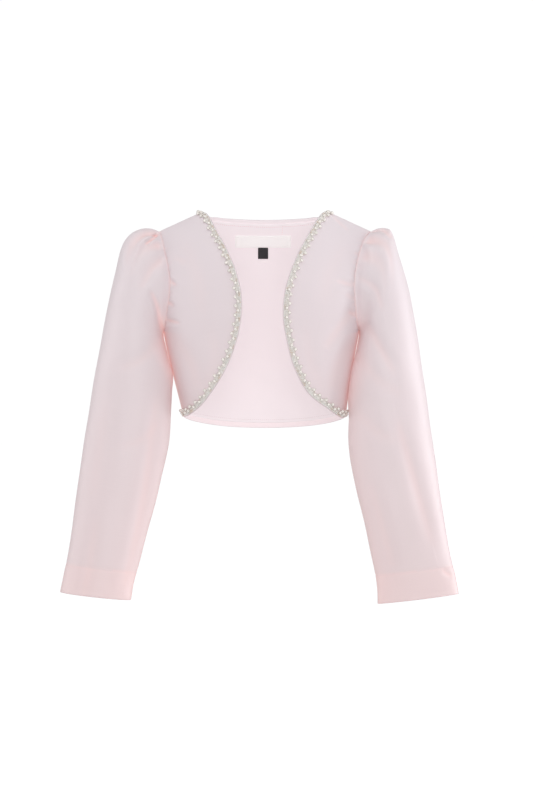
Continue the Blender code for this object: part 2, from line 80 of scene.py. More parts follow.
def put(name, data):
    """A new object in the scene."""
    thing = bpy.data.objects.new(name, data)
    bpy.context.scene.collection.objects.link(thing)
    return thing


eye = put("studio_camera", bpy.data.cameras.new("studio_camera"))
eye.location = (VIEW_MIDDLE[0], -VIEW_DISTANCE, VIEW_MIDDLE[1])
eye.rotation_euler = (math.pi / 2, 0.0, 0.0)
eye.data.sensor_width = 36.0
eye.data.lens = eye.data.sensor_width * VIEW_DISTANCE / VIEW_SPAN
bpy.context.scene.camera = eye
print("lens", round(eye.data.lens, 1), "mm")

# %% [markdown]
# ## Light and floor
# A shop's studio wraps the cloth in white light, so its shadows are faint and warm. A white
# world does half of that. A broad lamp beside the camera and one overhead do the rest, because
# they also reach the lining. A lamp at each far side brightens only what faces that way, most
# of all the outer side of the right sleeve. The backdrop is plain white: the world and the
# floor show the camera more light than they give the cloth.

# %% Light and floor
CLOTH_LIGHT, BACKDROP_LIGHT = 0.50, 1.02
FLOOR_HEIGHT = -0.95
FLOOR_RADIUS = 40.0

world = bpy.data.worlds.new("studio_white")
world.use_nodes = True
nodes, links = world.node_tree.nodes, world.node_tree.links
nodes["Background"].inputs["Color"].default_value = (1.0, 1.0, 1.0, 1.0)
strength = nodes.new("ShaderNodeMapRange")
strength.inputs["To Min"].default_value = CLOTH_LIGHT
strength.inputs["To Max"].default_value = BACKDROP_LIGHT
ray = nodes.new("ShaderNodeLightPath").outputs["Is Camera Ray"]
links.new(ray, strength.inputs["Value"])
links.new(strength.outputs[0], nodes["Background"].inputs["Strength"])
bpy.context.scene.world = world
bpy.context.scene.view_settings.view_transform = "Standard"
bpy.context.scene.view_settings.look = "None"


def soft_lamp(name, place, aim, size, watts, colour):
    """A square lamp that faces a point."""
    lamp = bpy.data.lights.new(name, "AREA")
    lamp.shape, lamp.size, lamp.energy, lamp.color = "SQUARE", size, watts, colour
    holder = put(name, lamp)
    holder.location = place
    x, y, z = np.array(aim) - np.array(place)
    holder.rotation_euler = (math.atan2(math.hypot(x, y), -z), 0.0, math.atan2(-x, y))


WHITE, COOL = (1.0, 1.0, 1.0), (0.97, 0.985, 1.0)
for name, place, aim, size, watts, colour in (
    ("camera_lamp", (0.1, -3.3, 0.45), (0.0, 0.0, -0.22), 2.2, 27.0, WHITE),
    ("top_lamp", (0.0, -0.9, 2.4), (0.0, 0.0, -0.2), 2.0, 18.0, WHITE),
    ("far_right_lamp", (2.6, 0.15, -0.1), (0.1, 0.0, -0.2), 1.6, 32.0, COOL),
    ("far_left_lamp", (-2.6, -0.1, 0.2), (-0.1, 0.0, -0.25), 1.8, 13.0, WHITE),
):
    soft_lamp(name, place, aim, size, watts, colour)
print("lamps:", [lamp.name for lamp in bpy.data.lights])

# %% [markdown]
# ## Node maths as Python
# A shader is a small program. Wrapping a socket in a class lets the program be written as
# sums: `grain * 0.1 + 0.5` adds the Math nodes itself. Every other node comes from one
# method, `Finish.node`, that takes a type, its settings and what feeds its sockets.


# %% Node maths as Python
class Shade:
    """A socket of a finish that Python's operators work on."""

    def __init__(self, finish, socket):
        self.finish, self.socket = finish, socket

    def maths(self, operation, first, second):
        return self.finish.node("ShaderNodeMath", {"operation": operation}, {0: first, 1: second})

    def __add__(self, other):
        return self.maths("ADD", self, other)

    def __mul__(self, other):
        return self.maths("MULTIPLY", self, other)

    def __pow__(self, other):
        return self.maths("POWER", self, other)


class Finish:
    """A material, with one method that adds any node to it."""

    def __init__(self, name, **fixed):
        self.material = bpy.data.materials.new(name)
        self.material.use_nodes = True
        self.tree = self.material.node_tree
        self.shader = self.tree.nodes["Principled BSDF"]
        for socket, value in fixed.items():
            self.shader.inputs[socket.replace("_", " ").title()].default_value = value

    def node(self, kind, settings=None, sockets=None, out=0):
        node = self.tree.nodes.new(kind)
        for name, value in (settings or {}).items():
            setattr(node, name, value)
        for key, value in (sockets or {}).items():
            if isinstance(value, Shade):
                self.tree.links.new(value.socket, node.inputs[key])
            else:
                node.inputs[key].default_value = value
        return Shade(self, node.outputs[out])

    def cloth(self):
        """The UV map, which holds metres of cloth."""
        return self.node("ShaderNodeTexCoord", out=2)

    def place(self):
        """The point in the object's own space."""
        return self.node("ShaderNodeTexCoord", out=3)

    def feed(self, socket, shade):
        self.tree.links.new(shade.socket, self.shader.inputs[socket])

    def mix(self, share, first, second):
        """Colours blend through a Mix node, because a Math node would turn them grey."""
        return self.node("ShaderNodeMix", {"data_type": "RGBA"}, {0: share, 6: first, 7: second}, 2)

    def noise(self, vector, scale, detail=2.0):
        sockets = {"Vector": vector, "Scale": scale, "Detail": detail}
        return self.node("ShaderNodeTexNoise", {}, sockets)

    def stretched(self, vector, across, down):
        """The same vector with its two directions scaled, for threads that run one way."""
        return self.node("ShaderNodeMapping", {}, {"Vector": vector, "Scale": (across, down, 1.0)})

    def bump(self, height, distance, strength=1.0):
        sockets = {"Height": height, "Distance": distance, "Strength": strength}
        return self.node("ShaderNodeBump", {}, sockets)


# %% [markdown]
# ## Satin and lining
# Satin floats its threads on the surface, so it has a broad soft gloss and almost no visible
# weave. What shows from near is the odd thick thread, the slub. Deep in a fold, along a seam,
# under the arm and in the turned-up cuff, the light has bounced from pink to pink, and it comes
# out warm. That warm shade is painted: the `fold` attribute, painted on each vertex when the
# piece is made, blends the colour towards salmon there. The top of the jacket is painted a
# little cooler than the lower half, a painted cool sheen of the studio light, and the height
# does that.
# Light from the white backdrop also comes through the back of the jacket, so the lining and
# the inner side of the back glow a little: a painted glow, stronger at the top than low down.
# Deep folds glow salmon on every cloth, a painted glow for the light that bounces about in
# them.
# The weave follows the cloth through its UV map, which holds metres.

# %% Satin and lining
def grey(level):
    return (level, level, level, 1.0)


def glowing(colour, share):
    return tuple(c * share for c in colour[:3]) + (1.0,)


# The top pink is painted with a cool sheen, and the salmon colours are painted warm shade for folds
# and seams.
PINK_TOP_PAINTED_SHEEN = (0.795, 0.710, 0.740, 1.0)
PINK_LOW = (0.800, 0.662, 0.672, 1.0)
PINK_PAINTED_WARM_SHADE = (0.790, 0.480, 0.440, 1.0)
PALE = (0.670, 0.612, 0.628, 1.0)
PALE_PAINTED_WARM_SHADE = (0.690, 0.520, 0.510, 1.0)
# Between these heights, in metres, the painted cool sheen of the top, and the glow from behind
# painted stronger there, fade into the lower half.
PAINTED_LIGHT_HEIGHTS = (-0.46, -0.02)
FOLD_GLOW = 0.45
GLOW_TOP, GLOW_LOW = 1.10, 0.75
THREADS_PER_METRE = 1900.0
SLUBS_PER_METRE, FINE_SLUBS_PER_METRE, CLOUDS_PER_METRE = 26.0, 40.0, 9.0
CLOUD_SHARE, WEAVE_HEIGHT, ROUGHNESS_VARIES = 0.7, 0.00012, 0.10
SATIN_ROUGH, SATIN_SLUB = 0.42, 0.5


def cloth_finish(name, high, low, painted_warm_shade_colour, roughness, slub, sheen, glow):
    """Woven cloth: faint slubs, an uneven colour, painted warm shade in its folds, a painted cool
    sheen at the top and a painted glow from behind.
    """
    finish = Finish(name, sheen_weight=sheen, sheen_roughness=0.4, emission_strength=1.0)
    finish.shader.inputs["Sheen Tint"].default_value = (1.0, 0.95, 0.96, 1.0)
    finish.shader.inputs["Specular IOR Level"].default_value = 0.42
    cloth, place = finish.cloth(), finish.place()
    height = finish.node("ShaderNodeSeparateXYZ", {}, {0: place}, 2)
    # A share that is 0 low down and 1 at the top: it paints the cool sheen there and paints the
    # glow from behind stronger.
    painted_light_range = {0: height, 1: PAINTED_LIGHT_HEIGHTS[0], 2: PAINTED_LIGHT_HEIGHTS[1]}
    painted_light_by_height = finish.node("ShaderNodeMapRange", {}, painted_light_range)
    weft = finish.stretched(cloth, SLUBS_PER_METRE, THREADS_PER_METRE * 0.45)
    warp = finish.stretched(cloth, THREADS_PER_METRE * 0.5, FINE_SLUBS_PER_METRE)
    thick, thin = finish.noise(weft, 1.0), finish.noise(warp, 1.0)
    cloud = finish.noise(place, CLOUDS_PER_METRE)
    fold = finish.node("ShaderNodeAttribute", {"attribute_name": "fold"}, out=2)
    ground = finish.mix(painted_light_by_height, low, high)
    uneven = cloud * CLOUD_SHARE + thick * (1 - CLOUD_SHARE)
    tone = finish.mix(uneven, grey(0.965), grey(1.03))
    multiply = {"data_type": "RGBA", "blend_type": "MULTIPLY"}
    ground = finish.node("ShaderNodeMix", multiply, {0: 1.0, 6: ground, 7: tone}, 2)
    # The fold attribute paints warm shade: salmon in the colour, and a salmon glow.
    finish.feed("Base Color", finish.mix(fold, ground, painted_warm_shade_colour))
    through = finish.mix(painted_light_by_height, glowing(high, glow * GLOW_LOW), glowing(high, glow * GLOW_TOP))
    finish.feed("Emission Color", finish.mix(fold, through, glowing(painted_warm_shade_colour, FOLD_GLOW)))
    middle = roughness - ROUGHNESS_VARIES / 2
    finish.feed("Roughness", thick * ROUGHNESS_VARIES + middle)
    finish.feed("Normal", finish.bump(thick * slub + thin * (slub * 0.5), WEAVE_HEIGHT))
    return finish.material


satin_look = (PINK_LOW, PINK_PAINTED_WARM_SHADE, SATIN_ROUGH, SATIN_SLUB)
satin = cloth_finish("satin_cloth", PINK_TOP_PAINTED_SHEEN, *satin_look, sheen=0.25, glow=0.0)
inner_satin = cloth_finish("satin_inner_side", PALE, *satin_look, sheen=0.2, glow=0.45)
lining_cloth = cloth_finish("lining_weave", PALE, PALE, PALE_PAINTED_WARM_SHADE, 0.5, 1.0, sheen=0.15, glow=0.50)
print("cloth:", satin.name, inner_satin.name, lining_cloth.name)

# %% [markdown]
# ## Pearls, beads, braid and label
# A pearl is bright in the middle and darker at its rim, because its coat mirrors the dark
# gaps around it at a low angle. Here that darker rim is painted shade in the pearl's colour.
# The small beads are glass lined with silver, and a few have tarnished to champagne. The
# braid under them is silver gimp, ribbed across.


# %% Pearls, beads, braid and label
def pearl_finish():
    finish = Finish("cream_pearl", roughness=0.22, coat_weight=0.6, coat_roughness=0.08)
    rim = finish.node("ShaderNodeLayerWeight", {}, {"Blend": 0.45}, 1)
    middle_colour, rim_painted_shade = (0.90, 0.86, 0.81, 1.0), (0.44, 0.36, 0.30, 1.0)
    # The darker rim is painted shade, by how squarely each point faces the eye.
    finish.feed("Base Color", finish.mix(rim ** 1.6, middle_colour, rim_painted_shade))
    return finish.material


def bead_finish():
    gloss = {"coat_weight": 0.5, "coat_roughness": 0.1}
    finish = Finish("silver_beads", roughness=0.3, metallic=0.2, **gloss)
    patch = finish.noise(finish.place(), 170.0, 1.0)
    warm = finish.node("ShaderNodeMapRange", {}, {0: patch, 1: 0.50, 2: 0.64, 3: 0.0, 4: 1.0})
    silver, champagne = (0.88, 0.865, 0.84, 1.0), (0.76, 0.63, 0.54, 1.0)
    finish.feed("Base Color", finish.mix(warm, silver, champagne))
    return finish.material


def ribbed_finish(name, dark, light, ribs_per_metre, height, **fixed):
    """Narrow woven ware with ribs across it: the braid, the label and the size tab."""
    finish = Finish(name, **fixed)
    ribs = {"Vector": finish.cloth(), "Scale": ribs_per_metre}
    weft = finish.node("ShaderNodeTexWave", {"bands_direction": "Y"}, ribs)
    # The colour is darker where the bump sets the ribs low: painted shade in the grooves.
    finish.feed("Base Color", finish.mix(weft, dark, light))
    finish.feed("Normal", finish.bump(weft, height))
    return finish.material


def tape_finish(name, dark, light, roughness, glow=0.0):
    """Woven tape. Light from behind glows through white tape."""
    fixed = {"roughness": roughness, "emission_strength": glow, "emission_color": light}
    return ribbed_finish(name, dark, light, TAPE_RIBS, 0.00008, **fixed)


BRAID_RIBS, TAPE_RIBS = 210.0, 420.0
GIMP_DARK, GIMP_LIGHT = (0.80, 0.74, 0.70, 1.0), (0.91, 0.89, 0.86, 1.0)
LABEL_DARK, LABEL_LIGHT = (0.88, 0.87, 0.86, 1.0), (0.96, 0.95, 0.94, 1.0)
TAB_DARK, TAB_LIGHT = (0.010, 0.010, 0.011, 1.0), (0.028, 0.028, 0.030, 1.0)
pearl = pearl_finish()
bead = bead_finish()
gimp_look = {"metallic": 0.1, "roughness": 0.5}
gimp = ribbed_finish("silver_gimp", GIMP_DARK, GIMP_LIGHT, BRAID_RIBS, 0.0003, **gimp_look)
label_tape = tape_finish("label_tape", LABEL_DARK, LABEL_LIGHT, 0.5, 0.22)
tab_tape = tape_finish("tab_tape", TAB_DARK, TAB_LIGHT, 0.55)
floor_paint = Finish("floor_white", roughness=0.9, emission_strength=0.6)
floor_grain = floor_paint.noise(floor_paint.place(), 3.0)
floor_paint.feed("Base Color", floor_paint.mix(floor_grain, grey(0.93), grey(0.95)))
seen = floor_paint.node("ShaderNodeLightPath")
floor_paint.feed("Emission Color", floor_paint.mix(seen, grey(0.0), grey(1.0)))
print("finishes:", len(bpy.data.materials))

# %% The floor
turns = np.linspace(0, 2 * math.pi, 96, endpoint=False)
rim = [(FLOOR_RADIUS * math.cos(a), FLOOR_RADIUS * math.sin(a), FLOOR_HEIGHT) for a in turns]
floor_mesh = bpy.data.meshes.new("studio_floor")
floor_mesh.from_pydata(rim, [], [tuple(range(len(rim)))])
floor_mesh.materials.append(floor_paint.material)
floor = put("studio_floor", floor_mesh)
floor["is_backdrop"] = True

# %% [markdown]
# ## The form that the cloth lies on
# The solids were drawn on one smooth form, so the dressed cloth is drawn on the same one,
# only with far more points. A place on it is an angle, from the middle (0) to the side seam
# (90), and a fall, which is how far down from the shoulder line it lies. A few tables hold
# the sizes, and a smooth curve through each table gives every size in between.

# %% Sizes of the form
LEFT, RIGHT = -1.0, 1.0
SIDES = {LEFT: "left", RIGHT: "right"}
FACES = {"front": -1.0, "back": 1.0}
NECK_OUT, TIP_OUT, TIP_DROP = 80.0, 132.5, 24.0
SHOULDER_PITCH = TIP_DROP / (TIP_OUT - NECK_OUT)
ROUNDED_SHARE, CHEST_DROP, TIP_CHEST_DROP, CHEST_HANDLE = 0.3, 130.0, 100.0, 60.0
LEVEL_FALL = 3.0 * CHEST_HANDLE
ROUNDNESS = 2.0 / 2.3
MIDDLE_ROUND = 9.0
ARMPIT_DROP, HEM_DROP, BACK_HEM_DIP, BACK_HEM_CURVE = 150.0, 256.0, 14.0, 1.3

GIRTHS = {
    "drop": (0, 40, 75, 100, 150, 200, 256, 285),
    "left": (135.0, 134.0, 132.5, 131.0, 127.0, 116.0, 102.0, 96.0),
    "right": (135.0, 132.0, 127.0, 123.0, 117.5, 108.6, 101.0, 97.0),
    "front": (70, 74, 76, 76, 76, 74, 70, 68),
    "back": (62, 66, 68, 70, 72, 72, 70, 69),
}
ARMHOLE = {
    "turn": (0, 45, 90, 135, 180),
    "front_left": (132.5, 126.5, 118.0, 122.5, 127.0),
    "front_right": (132.5, 120.5, 111.0, 113.5, 117.5),
    "back_left": (132.5, 128.5, 123.0, 125.0, 127.0),
    "back_right": (132.5, 124.0, 117.0, 116.5, 117.5),
}
FRONT_EDGE = {
    "left_out": (80.0, 63.0, 46.0, 34.5, 28.5, 29.5, 39.0, 50.0, 66.0, 78.0, 93.0, 102.0),
    "left_drop": (0, 19, 51, 80, 110, 137, 176, 201, 226, 241, 253, 256),
    "right_out": (80.0, 61.0, 47.0, 34.0, 24.0, 22.0, 26.5, 36.5, 56.0, 76.0, 92.0, 101.0),
    "right_drop": (0, 17, 42, 70, 104, 130, 162, 197, 230, 245, 256, 256),
}
BACK_NECK = {
    "out": (80.0, 72.0, 60.0, 40.0, 24.0, 12.0, 5.0, 0.0),
    "drop": (0, 3.5, 5.5, 7.0, 7.5, 7.73, 7.79, 7.8),
}


# %% Curves through tables
def smooth(keys, values, at, level_ends=False):
    """A smooth curve through the points of a short table, read at many places at once."""
    keys, values = np.asarray(keys, float), np.asarray(values, float)
    at = np.clip(at, keys[0], keys[-1])
    steps = np.diff(keys)
    climbs = np.diff(values) / steps
    slopes = np.empty_like(values)
    slopes[1:-1] = (climbs[:-1] * steps[1:] + climbs[1:] * steps[:-1]) / (steps[:-1] + steps[1:])
    slopes[[0, -1]] = 0.0 if level_ends else climbs[[0, -1]]
    i = np.clip(np.searchsorted(keys, at, side="right") - 1, 0, len(keys) - 2)
    t = (at - keys[i]) / steps[i]
    bend = steps[i] * ((t - 2 * t**2 + t**3) * slopes[i] + (t**3 - t**2) * slopes[i + 1])
    return values[i] + (3 * t**2 - 2 * t**3) * (values[i + 1] - values[i]) + bend


def unit(vectors):
    return vectors / np.maximum(np.linalg.norm(vectors, axis=-1, keepdims=True), 1e-9)


def dot(first, second):
    return np.sum(first * second, axis=-1)


def stepped(share):
    """0 to 1 with soft ends."""
    share = np.clip(share, 0.0, 1.0)
    return share * share * (3 - 2 * share)


def near(distance, reach):
    """1 at a line, and a soft fall to 0 past its reach."""
    return np.exp(-((distance / reach) ** 2))


def half_width(side, drop):
    left, right = (smooth(GIRTHS["drop"], GIRTHS[name], drop) for name in SIDES.values())
    return np.where(np.asarray(side) < 0, left, right)


# %% Places on the form
def on_body(side, face, angle, fall):
    """Points of the form at arrays of angles and falls."""
    across = np.sin(np.radians(angle)) ** ROUNDNESS
    away = np.maximum(np.cos(np.radians(angle)), 0.0) ** ROUNDNESS
    chest = CHEST_DROP + (TIP_CHEST_DROP - CHEST_DROP) * across**2
    s = np.clip(fall / LEVEL_FALL, 0.0, 1.0)
    below = 3 * (1 - s) * s**2 * (chest - CHEST_HANDLE) + s**3 * chest
    below = below + np.maximum(fall - LEVEL_FALL, 0.0)
    swell = 3 * (1 - s) ** 2 * s * ROUNDED_SHARE + 3 * (1 - s) * s**2 + s**3
    drop = fall
    for _ in range(8):
        out = half_width(side, drop) * across
        rounded = out + MIDDLE_ROUND * np.exp(-out / MIDDLE_ROUND)
        drop = (rounded - NECK_OUT) * SHOULDER_PITCH + below
    depth = smooth(GIRTHS["drop"], GIRTHS[face], drop) * away * swell
    return np.stack([side * out, FACES[face] * depth, -drop], axis=-1)


def fall_at(side, face, angle, drop):
    """How far down the form a drop lies. Halving a range again and again finds it."""
    low = np.zeros(np.broadcast(angle, drop).shape)
    high = low + LEVEL_FALL + HEM_DROP
    for _ in range(24):
        middle = (low + high) / 2
        above = -on_body(side, face, angle, middle)[..., 2] < drop
        low, high = np.where(above, middle, low), np.where(above, high, middle)
    return np.where(middle > 0.01, middle, 0.0)


def seen_at(side, face, out, drop):
    """(angle, fall) of what is seen so far out and so far down."""
    ratio = np.minimum(out / half_width(side, drop), 1.0)
    angle = np.degrees(np.arcsin(ratio ** (1 / ROUNDNESS)))
    return angle, fall_at(side, face, angle, drop)


def armhole_at(side, face, turn):
    """(angle, fall) on the armhole seam: the turn is 0 at the shoulder and 180 at the armpit."""
    turn = np.asarray(turn, float)
    middle, reach = (TIP_DROP + ARMPIT_DROP) / 2, (ARMPIT_DROP - TIP_DROP) / 2
    out = smooth(ARMHOLE["turn"], ARMHOLE[face + "_" + SIDES[side]], turn, level_ends=True)
    angle, fall = seen_at(side, face, out, middle - reach * np.cos(np.radians(turn)))
    armpit_fall = fall_at(side, face, np.array(90.0), np.array(ARMPIT_DROP))
    fall = np.where(turn >= 180, armpit_fall, np.where(turn <= 0, 0.0, fall))
    return np.where(turn >= 180, 90.0, angle), fall


chest_depth = np.ptp([on_body(RIGHT, face, 0.0, 200.0)[1] for face in FACES])
print("depth of the chest", round(chest_depth, 1), "mm")

# %% [markdown]
# ## Cloth from a grid
# Every piece of cloth here is a grid of points with a thin wall. `cloth_piece` takes the outer
# points, pushes a second layer inwards along the normals, and joins the two with a rim. A hem
# gets a rim that bulges, as a folded edge does. A seam edge stays flat, so its neighbour can
# lie against it. Each layer has its own finish, and UVs are measured in metres.


# %% Cloth from a grid
def lengths_along(points, axis):
    """Running length along a grid, in millimetres, from its first row or column."""
    gaps = np.linalg.norm(np.diff(points, axis=axis), axis=-1)
    start = np.zeros_like(np.take(gaps, [0], axis=axis))
    return np.concatenate([start, np.cumsum(gaps, axis=axis)], axis=axis)


def grid_normals(points, way, closed=False):
    """Unit directions out of a grid of points, on the side that `way` points to."""
    wide = np.concatenate([points[:, -1:], points, points[:, :1]], axis=1) if closed else points
    normals = np.cross(np.gradient(wide, axis=1), np.gradient(wide, axis=0))
    normals = unit(normals[:, 1:-1] if closed else normals)
    return normals * np.sign(np.sum(dot(normals, way)))


def rim_walks(rows, columns, closed):
    """The grid's edge as walks of (row, column, edge name). A closed grid has two."""
    top = [(0, c, "top") for c in range(columns)]
    foot = [(rows - 1, c, "foot") for c in range(columns - 1, -1, -1)]
    if closed:
        return [top, foot]
    right = [(r, columns - 1, "right") for r in range(1, rows - 1)]
    left = [(r, 0, "left") for r in range(rows - 2, 0, -1)]
    return [top + right + foot + left]


HEM_BULGE = 0.45
EVERY_EDGE = ("left", "right", "top", "foot")


def cloth_piece(
    name, points, normals, wall, finishes, fold=None, closed=False, hems=(), face=None
):
    """A closed thin wall from a grid of outer points. A face keeps it on its side of y = 0."""
    rows, columns = points.shape[:2]
    count = rows * columns
    number = np.arange(count).reshape(rows, columns)
    turned = np.cross(points[1, 2] - points[1, 1], points[2, 1] - points[1, 1])
    forward = dot(turned, normals[1, 1]) > 0
    u = lengths_along(points, 1).mean(axis=0) * MM
    v = lengths_along(points, 0).mean(axis=1) * MM
    u = np.append(u, u[-1] + u[-1] / (columns - 1))
    a, b = number[:-1], np.roll(number, -1, axis=1)[:-1]
    d, c = number[1:], np.roll(number, -1, axis=1)[1:]
    quads = np.stack([a, b, c, d], axis=-1)
    square = np.empty((rows - 1, columns, 4, 2))
    square[..., 0] = np.stack([u[:-1], u[1:], u[1:], u[:-1]], axis=-1)
    square[..., 1] = np.stack([v[:-1], v[:-1], v[1:], v[1:]], axis=-1)[:, None]
    kept = columns if closed else columns - 1
    quads, square = quads[:, :kept].reshape(-1, 4), square[:, :kept].reshape(-1, 4, 2)
    faces = np.concatenate([quads, quads[:, ::-1] + count])
    corners = np.concatenate([square, square[:, ::-1]])
    slots = np.repeat([0, 1], len(quads))
    inner = points - normals * wall
    if face:
        inner = part_at_seams(inner, face)
    vertices = [points.reshape(-1, 3), inner.reshape(-1, 3)]
    steps = {"top": (1, 0), "foot": (-1, 0), "left": (0, 1), "right": (0, -1)}
    made = 2 * count
    for walk in rim_walks(rows, columns, closed):
        middles = []
        for r, c, edge in walk:
            off = unit(points[r, c] - points[r + steps[edge][0], c + steps[edge][1]])
            bulge = HEM_BULGE * wall if edge in hems else 0.0
            middles.append(points[r, c] - normals[r, c] * wall / 2 + off * bulge)
        here = np.array([number[r, c] for r, c, _ in walk])
        place = np.array([(u[c], v[r]) for r, c, _ in walk])
        after, next_place = np.roll(here, -1), np.roll(place, -1, axis=0)
        mid = made + np.arange(len(walk))
        next_mid = np.roll(mid, -1)
        outer_band = np.stack([after, here, mid, next_mid], axis=-1)
        inner_band = np.stack([next_mid, mid, here + count, after + count], axis=-1)
        band_uv = np.stack([next_place, place, place, next_place], axis=1)
        faces = np.concatenate([faces, outer_band, inner_band])
        corners = np.concatenate([corners, band_uv, band_uv])
        slots = np.append(slots, np.zeros(2 * len(walk), int))
        vertices.append(np.array(middles))
        made += len(walk)
    if not forward:
        faces, corners = faces[:, ::-1], corners[:, ::-1]
    mesh = bpy.data.meshes.new(name)
    mesh.from_pydata((np.concatenate(vertices) * MM).tolist(), [], faces.tolist())
    layer = mesh.uv_layers.new(name="cloth")
    layer.data.foreach_set("uv", corners.astype(np.float32).ravel())
    mesh.polygons.foreach_set("material_index", slots)
    # The fold attribute holds each vertex's share of painted warm shade.
    paint = mesh.attributes.new("fold", "FLOAT", "POINT")
    painted_shade_share = np.zeros(made, np.float32)
    if fold is not None:
        painted_shade_share[: 2 * count] = np.tile(fold.ravel(), 2)
    paint.data.foreach_set("value", painted_shade_share)
    for finish in finishes:
        mesh.materials.append(finish)
    mesh.shade_smooth()
    print(name, len(mesh.polygons), "faces")
    return put(name, mesh)


# %% [markdown]
# ## Folds laid one by one
# A satin jacket on an unseen form is not smooth. It drags from the armpit, puckers where the
# sleeve is eased into the armhole, and breaks softly down the arm. Each fold here is a line,
# as seen from the front, with a width and a depth. Its section is a soft valley with a low
# ridge on the side that the cloth is pushed to. Ridges alone have a negative depth.
# The side of the piece that looks away has folds of its own, marked `back`.

# %% The folds
Fold = namedtuple("Fold", "face line width depth lean")


def folds(face, *rows):
    return tuple(Fold(face, *row) for row in rows)


FRONT_FOLDS = {
    LEFT: folds(
        "front",
        (((-121, -87), (-110, -93)), 3.6, 2.2, 1),
        (((-122, -113), (-113, -119)), 3.8, 1.8, 1),
        (((-127, -135), (-106, -140)), 3.2, 1.9, -1),
        (((-118, -150), (-92, -190), (-84, -222)), 12.0, 1.6, 1),
        (((-100, -40), (-84, -84), (-80, -128)), 15.0, 1.3, -1),
        (((-66, -150), (-62, -185), (-76, -222)), 12.0, 1.0, 1),
        (((-112, -58), (-98, -66)), 6.0, 0.8, 1),
    ),
    RIGHT: folds(
        "front",
        (((84, -5), (103, -23)), 3.4, 0.9, 1),
        (((89, -88), (111, -94)), 4.5, 1.5, -1),
        (((100, -104), (114, -112)), 5.0, 1.0, 1),
        (((104, -126), (117, -131)), 4.0, 1.6, 1),
        (((112, -120), (96, -142), (74, -170)), 9.0, 2.0, 1),
        (((108, -162), (92, -190), (82, -224)), 12.0, 1.6, -1),
        (((98, -44), (80, -80), (72, -116)), 15.0, 1.2, 1),
        (((50, -150), (56, -190), (70, -220)), 11.0, 0.9, -1),
    ),
}
BACK_FOLDS = folds(
    "back",
    (((-121, -92), (-101, -99)), 5.0, 1.4, 1),
    (((-122, -122), (-98, -132)), 6.0, 1.6, -1),
    (((-116, -150), (-84, -176), (-56, -186)), 11.0, 1.8, 1),
    (((114, -88), (98, -96)), 5.0, 1.2, 1),
    (((115, -118), (92, -130)), 6.0, 1.5, -1),
    (((108, -146), (82, -178), (48, -192)), 11.0, 2.0, 1),
    (((-40, -190), (0, -200), (44, -194)), 13.0, 1.0, 1),
    (((-70, -60), (-64, -110), (-70, -150)), 15.0, 1.2, 1),
    (((74, -56), (66, -104), (74, -146)), 15.0, 1.3, -1),
    (((-22, -210), (-16, -245), (-20, -268)), 12.0, 1.0, 1),
    (((34, -214), (30, -246), (36, -266)), 12.0, 0.9, -1),
)
SLEEVE_FOLDS = {
    LEFT: folds(
        "front",
        (((-135, -30), (-141, -35), (-148, -41)), 2.2, 3.2, -1),
        (((-134, -25), (-151, -36), (-157, -47), (-163, -64), (-167, -78)), 3.4, -1.3, 1),
        (((-140, -102), (-133, -118), (-130, -134), (-128, -149)), 4.2, 2.6, -1),
        (((-128, -62), (-140, -74), (-152, -96)), 6.0, 1.3, 1),
        (((-130, -160), (-150, -184), (-178, -196)), 9.0, 1.4, -1),
        (((-134, -236), (-144, -320), (-154, -385), (-172, -462)), 9.0, 2.2, 1),
        (((-196, -230), (-206, -300), (-212, -352)), 12.0, 1.0, -1),
        (((-128, -262), (-152, -284), (-176, -292)), 8.0, 1.0, 1),
        (((-208, -382), (-214, -430), (-222, -476)), 9.0, 1.1, 1),
    ) + folds(
        "back",
        (((-124, -160), (-150, -178), (-186, -184)), 9.0, 1.8, 1),
        (((-122, -190), (-150, -214), (-196, -220)), 10.0, 2.0, -1),
        (((-150, -60), (-164, -104), (-166, -140)), 9.0, 1.4, 1),
        (((-140, -250), (-160, -330), (-176, -420)), 11.0, 1.8, 1),
        (((-196, -300), (-210, -360), (-222, -440)), 10.0, 1.2, -1),
    ),
    RIGHT: folds(
        "front",
        (((146, -20), (158, -33)), 4.5, 1.8, 1),
        (((123, -38), (129, -50), (131, -66)), 4.0, -1.2, 1),
        (((118, -84), (136, -98), (144, -122)), 6.0, 1.4, -1),
        (((122, -138), (140, -168), (158, -200)), 8.0, 2.2, 1),
        (((112, -176), (136, -208), (166, -226)), 9.0, 1.2, -1),
        (((164, -262), (182, -326), (205, -409)), 9.0, 2.4, -1),
        (((112, -250), (140, -276), (162, -284)), 9.0, 1.2, 1),
        (((130, -340), (146, -400), (156, -440)), 9.0, 1.2, 1),
        (((218, -444), (230, -452)), 3.6, 1.2, 1),
    ) + folds(
        "back",
        (((112, -158), (140, -176), (176, -182)), 9.0, 1.7, 1),
        (((110, -192), (142, -214), (186, -224)), 10.0, 2.0, -1),
        (((140, -56), (152, -100), (156, -140)), 9.0, 1.3, 1),
        (((128, -260), (150, -340), (176, -430)), 11.0, 1.8, -1),
        (((182, -290), (196, -350), (212, -440)), 10.0, 1.3, 1),
    ),
}
RIDGE_SHARE, RIDGE_AWAY, RIDGE_SPREAD = 0.45, 1.9, 1.2
FOLD_STEPS, END_SHARE, SEEN_FROM = 14, 0.25, 0.4
# Shares of painted warm shade in a fold and along a seam, and its reach across a fold.
FOLD_PAINTED_SHADE, SEAM_PAINTED_SHADE, STEEPEST, WARM_REACH = 0.42, 0.15, 1.2, 1 / 1.6


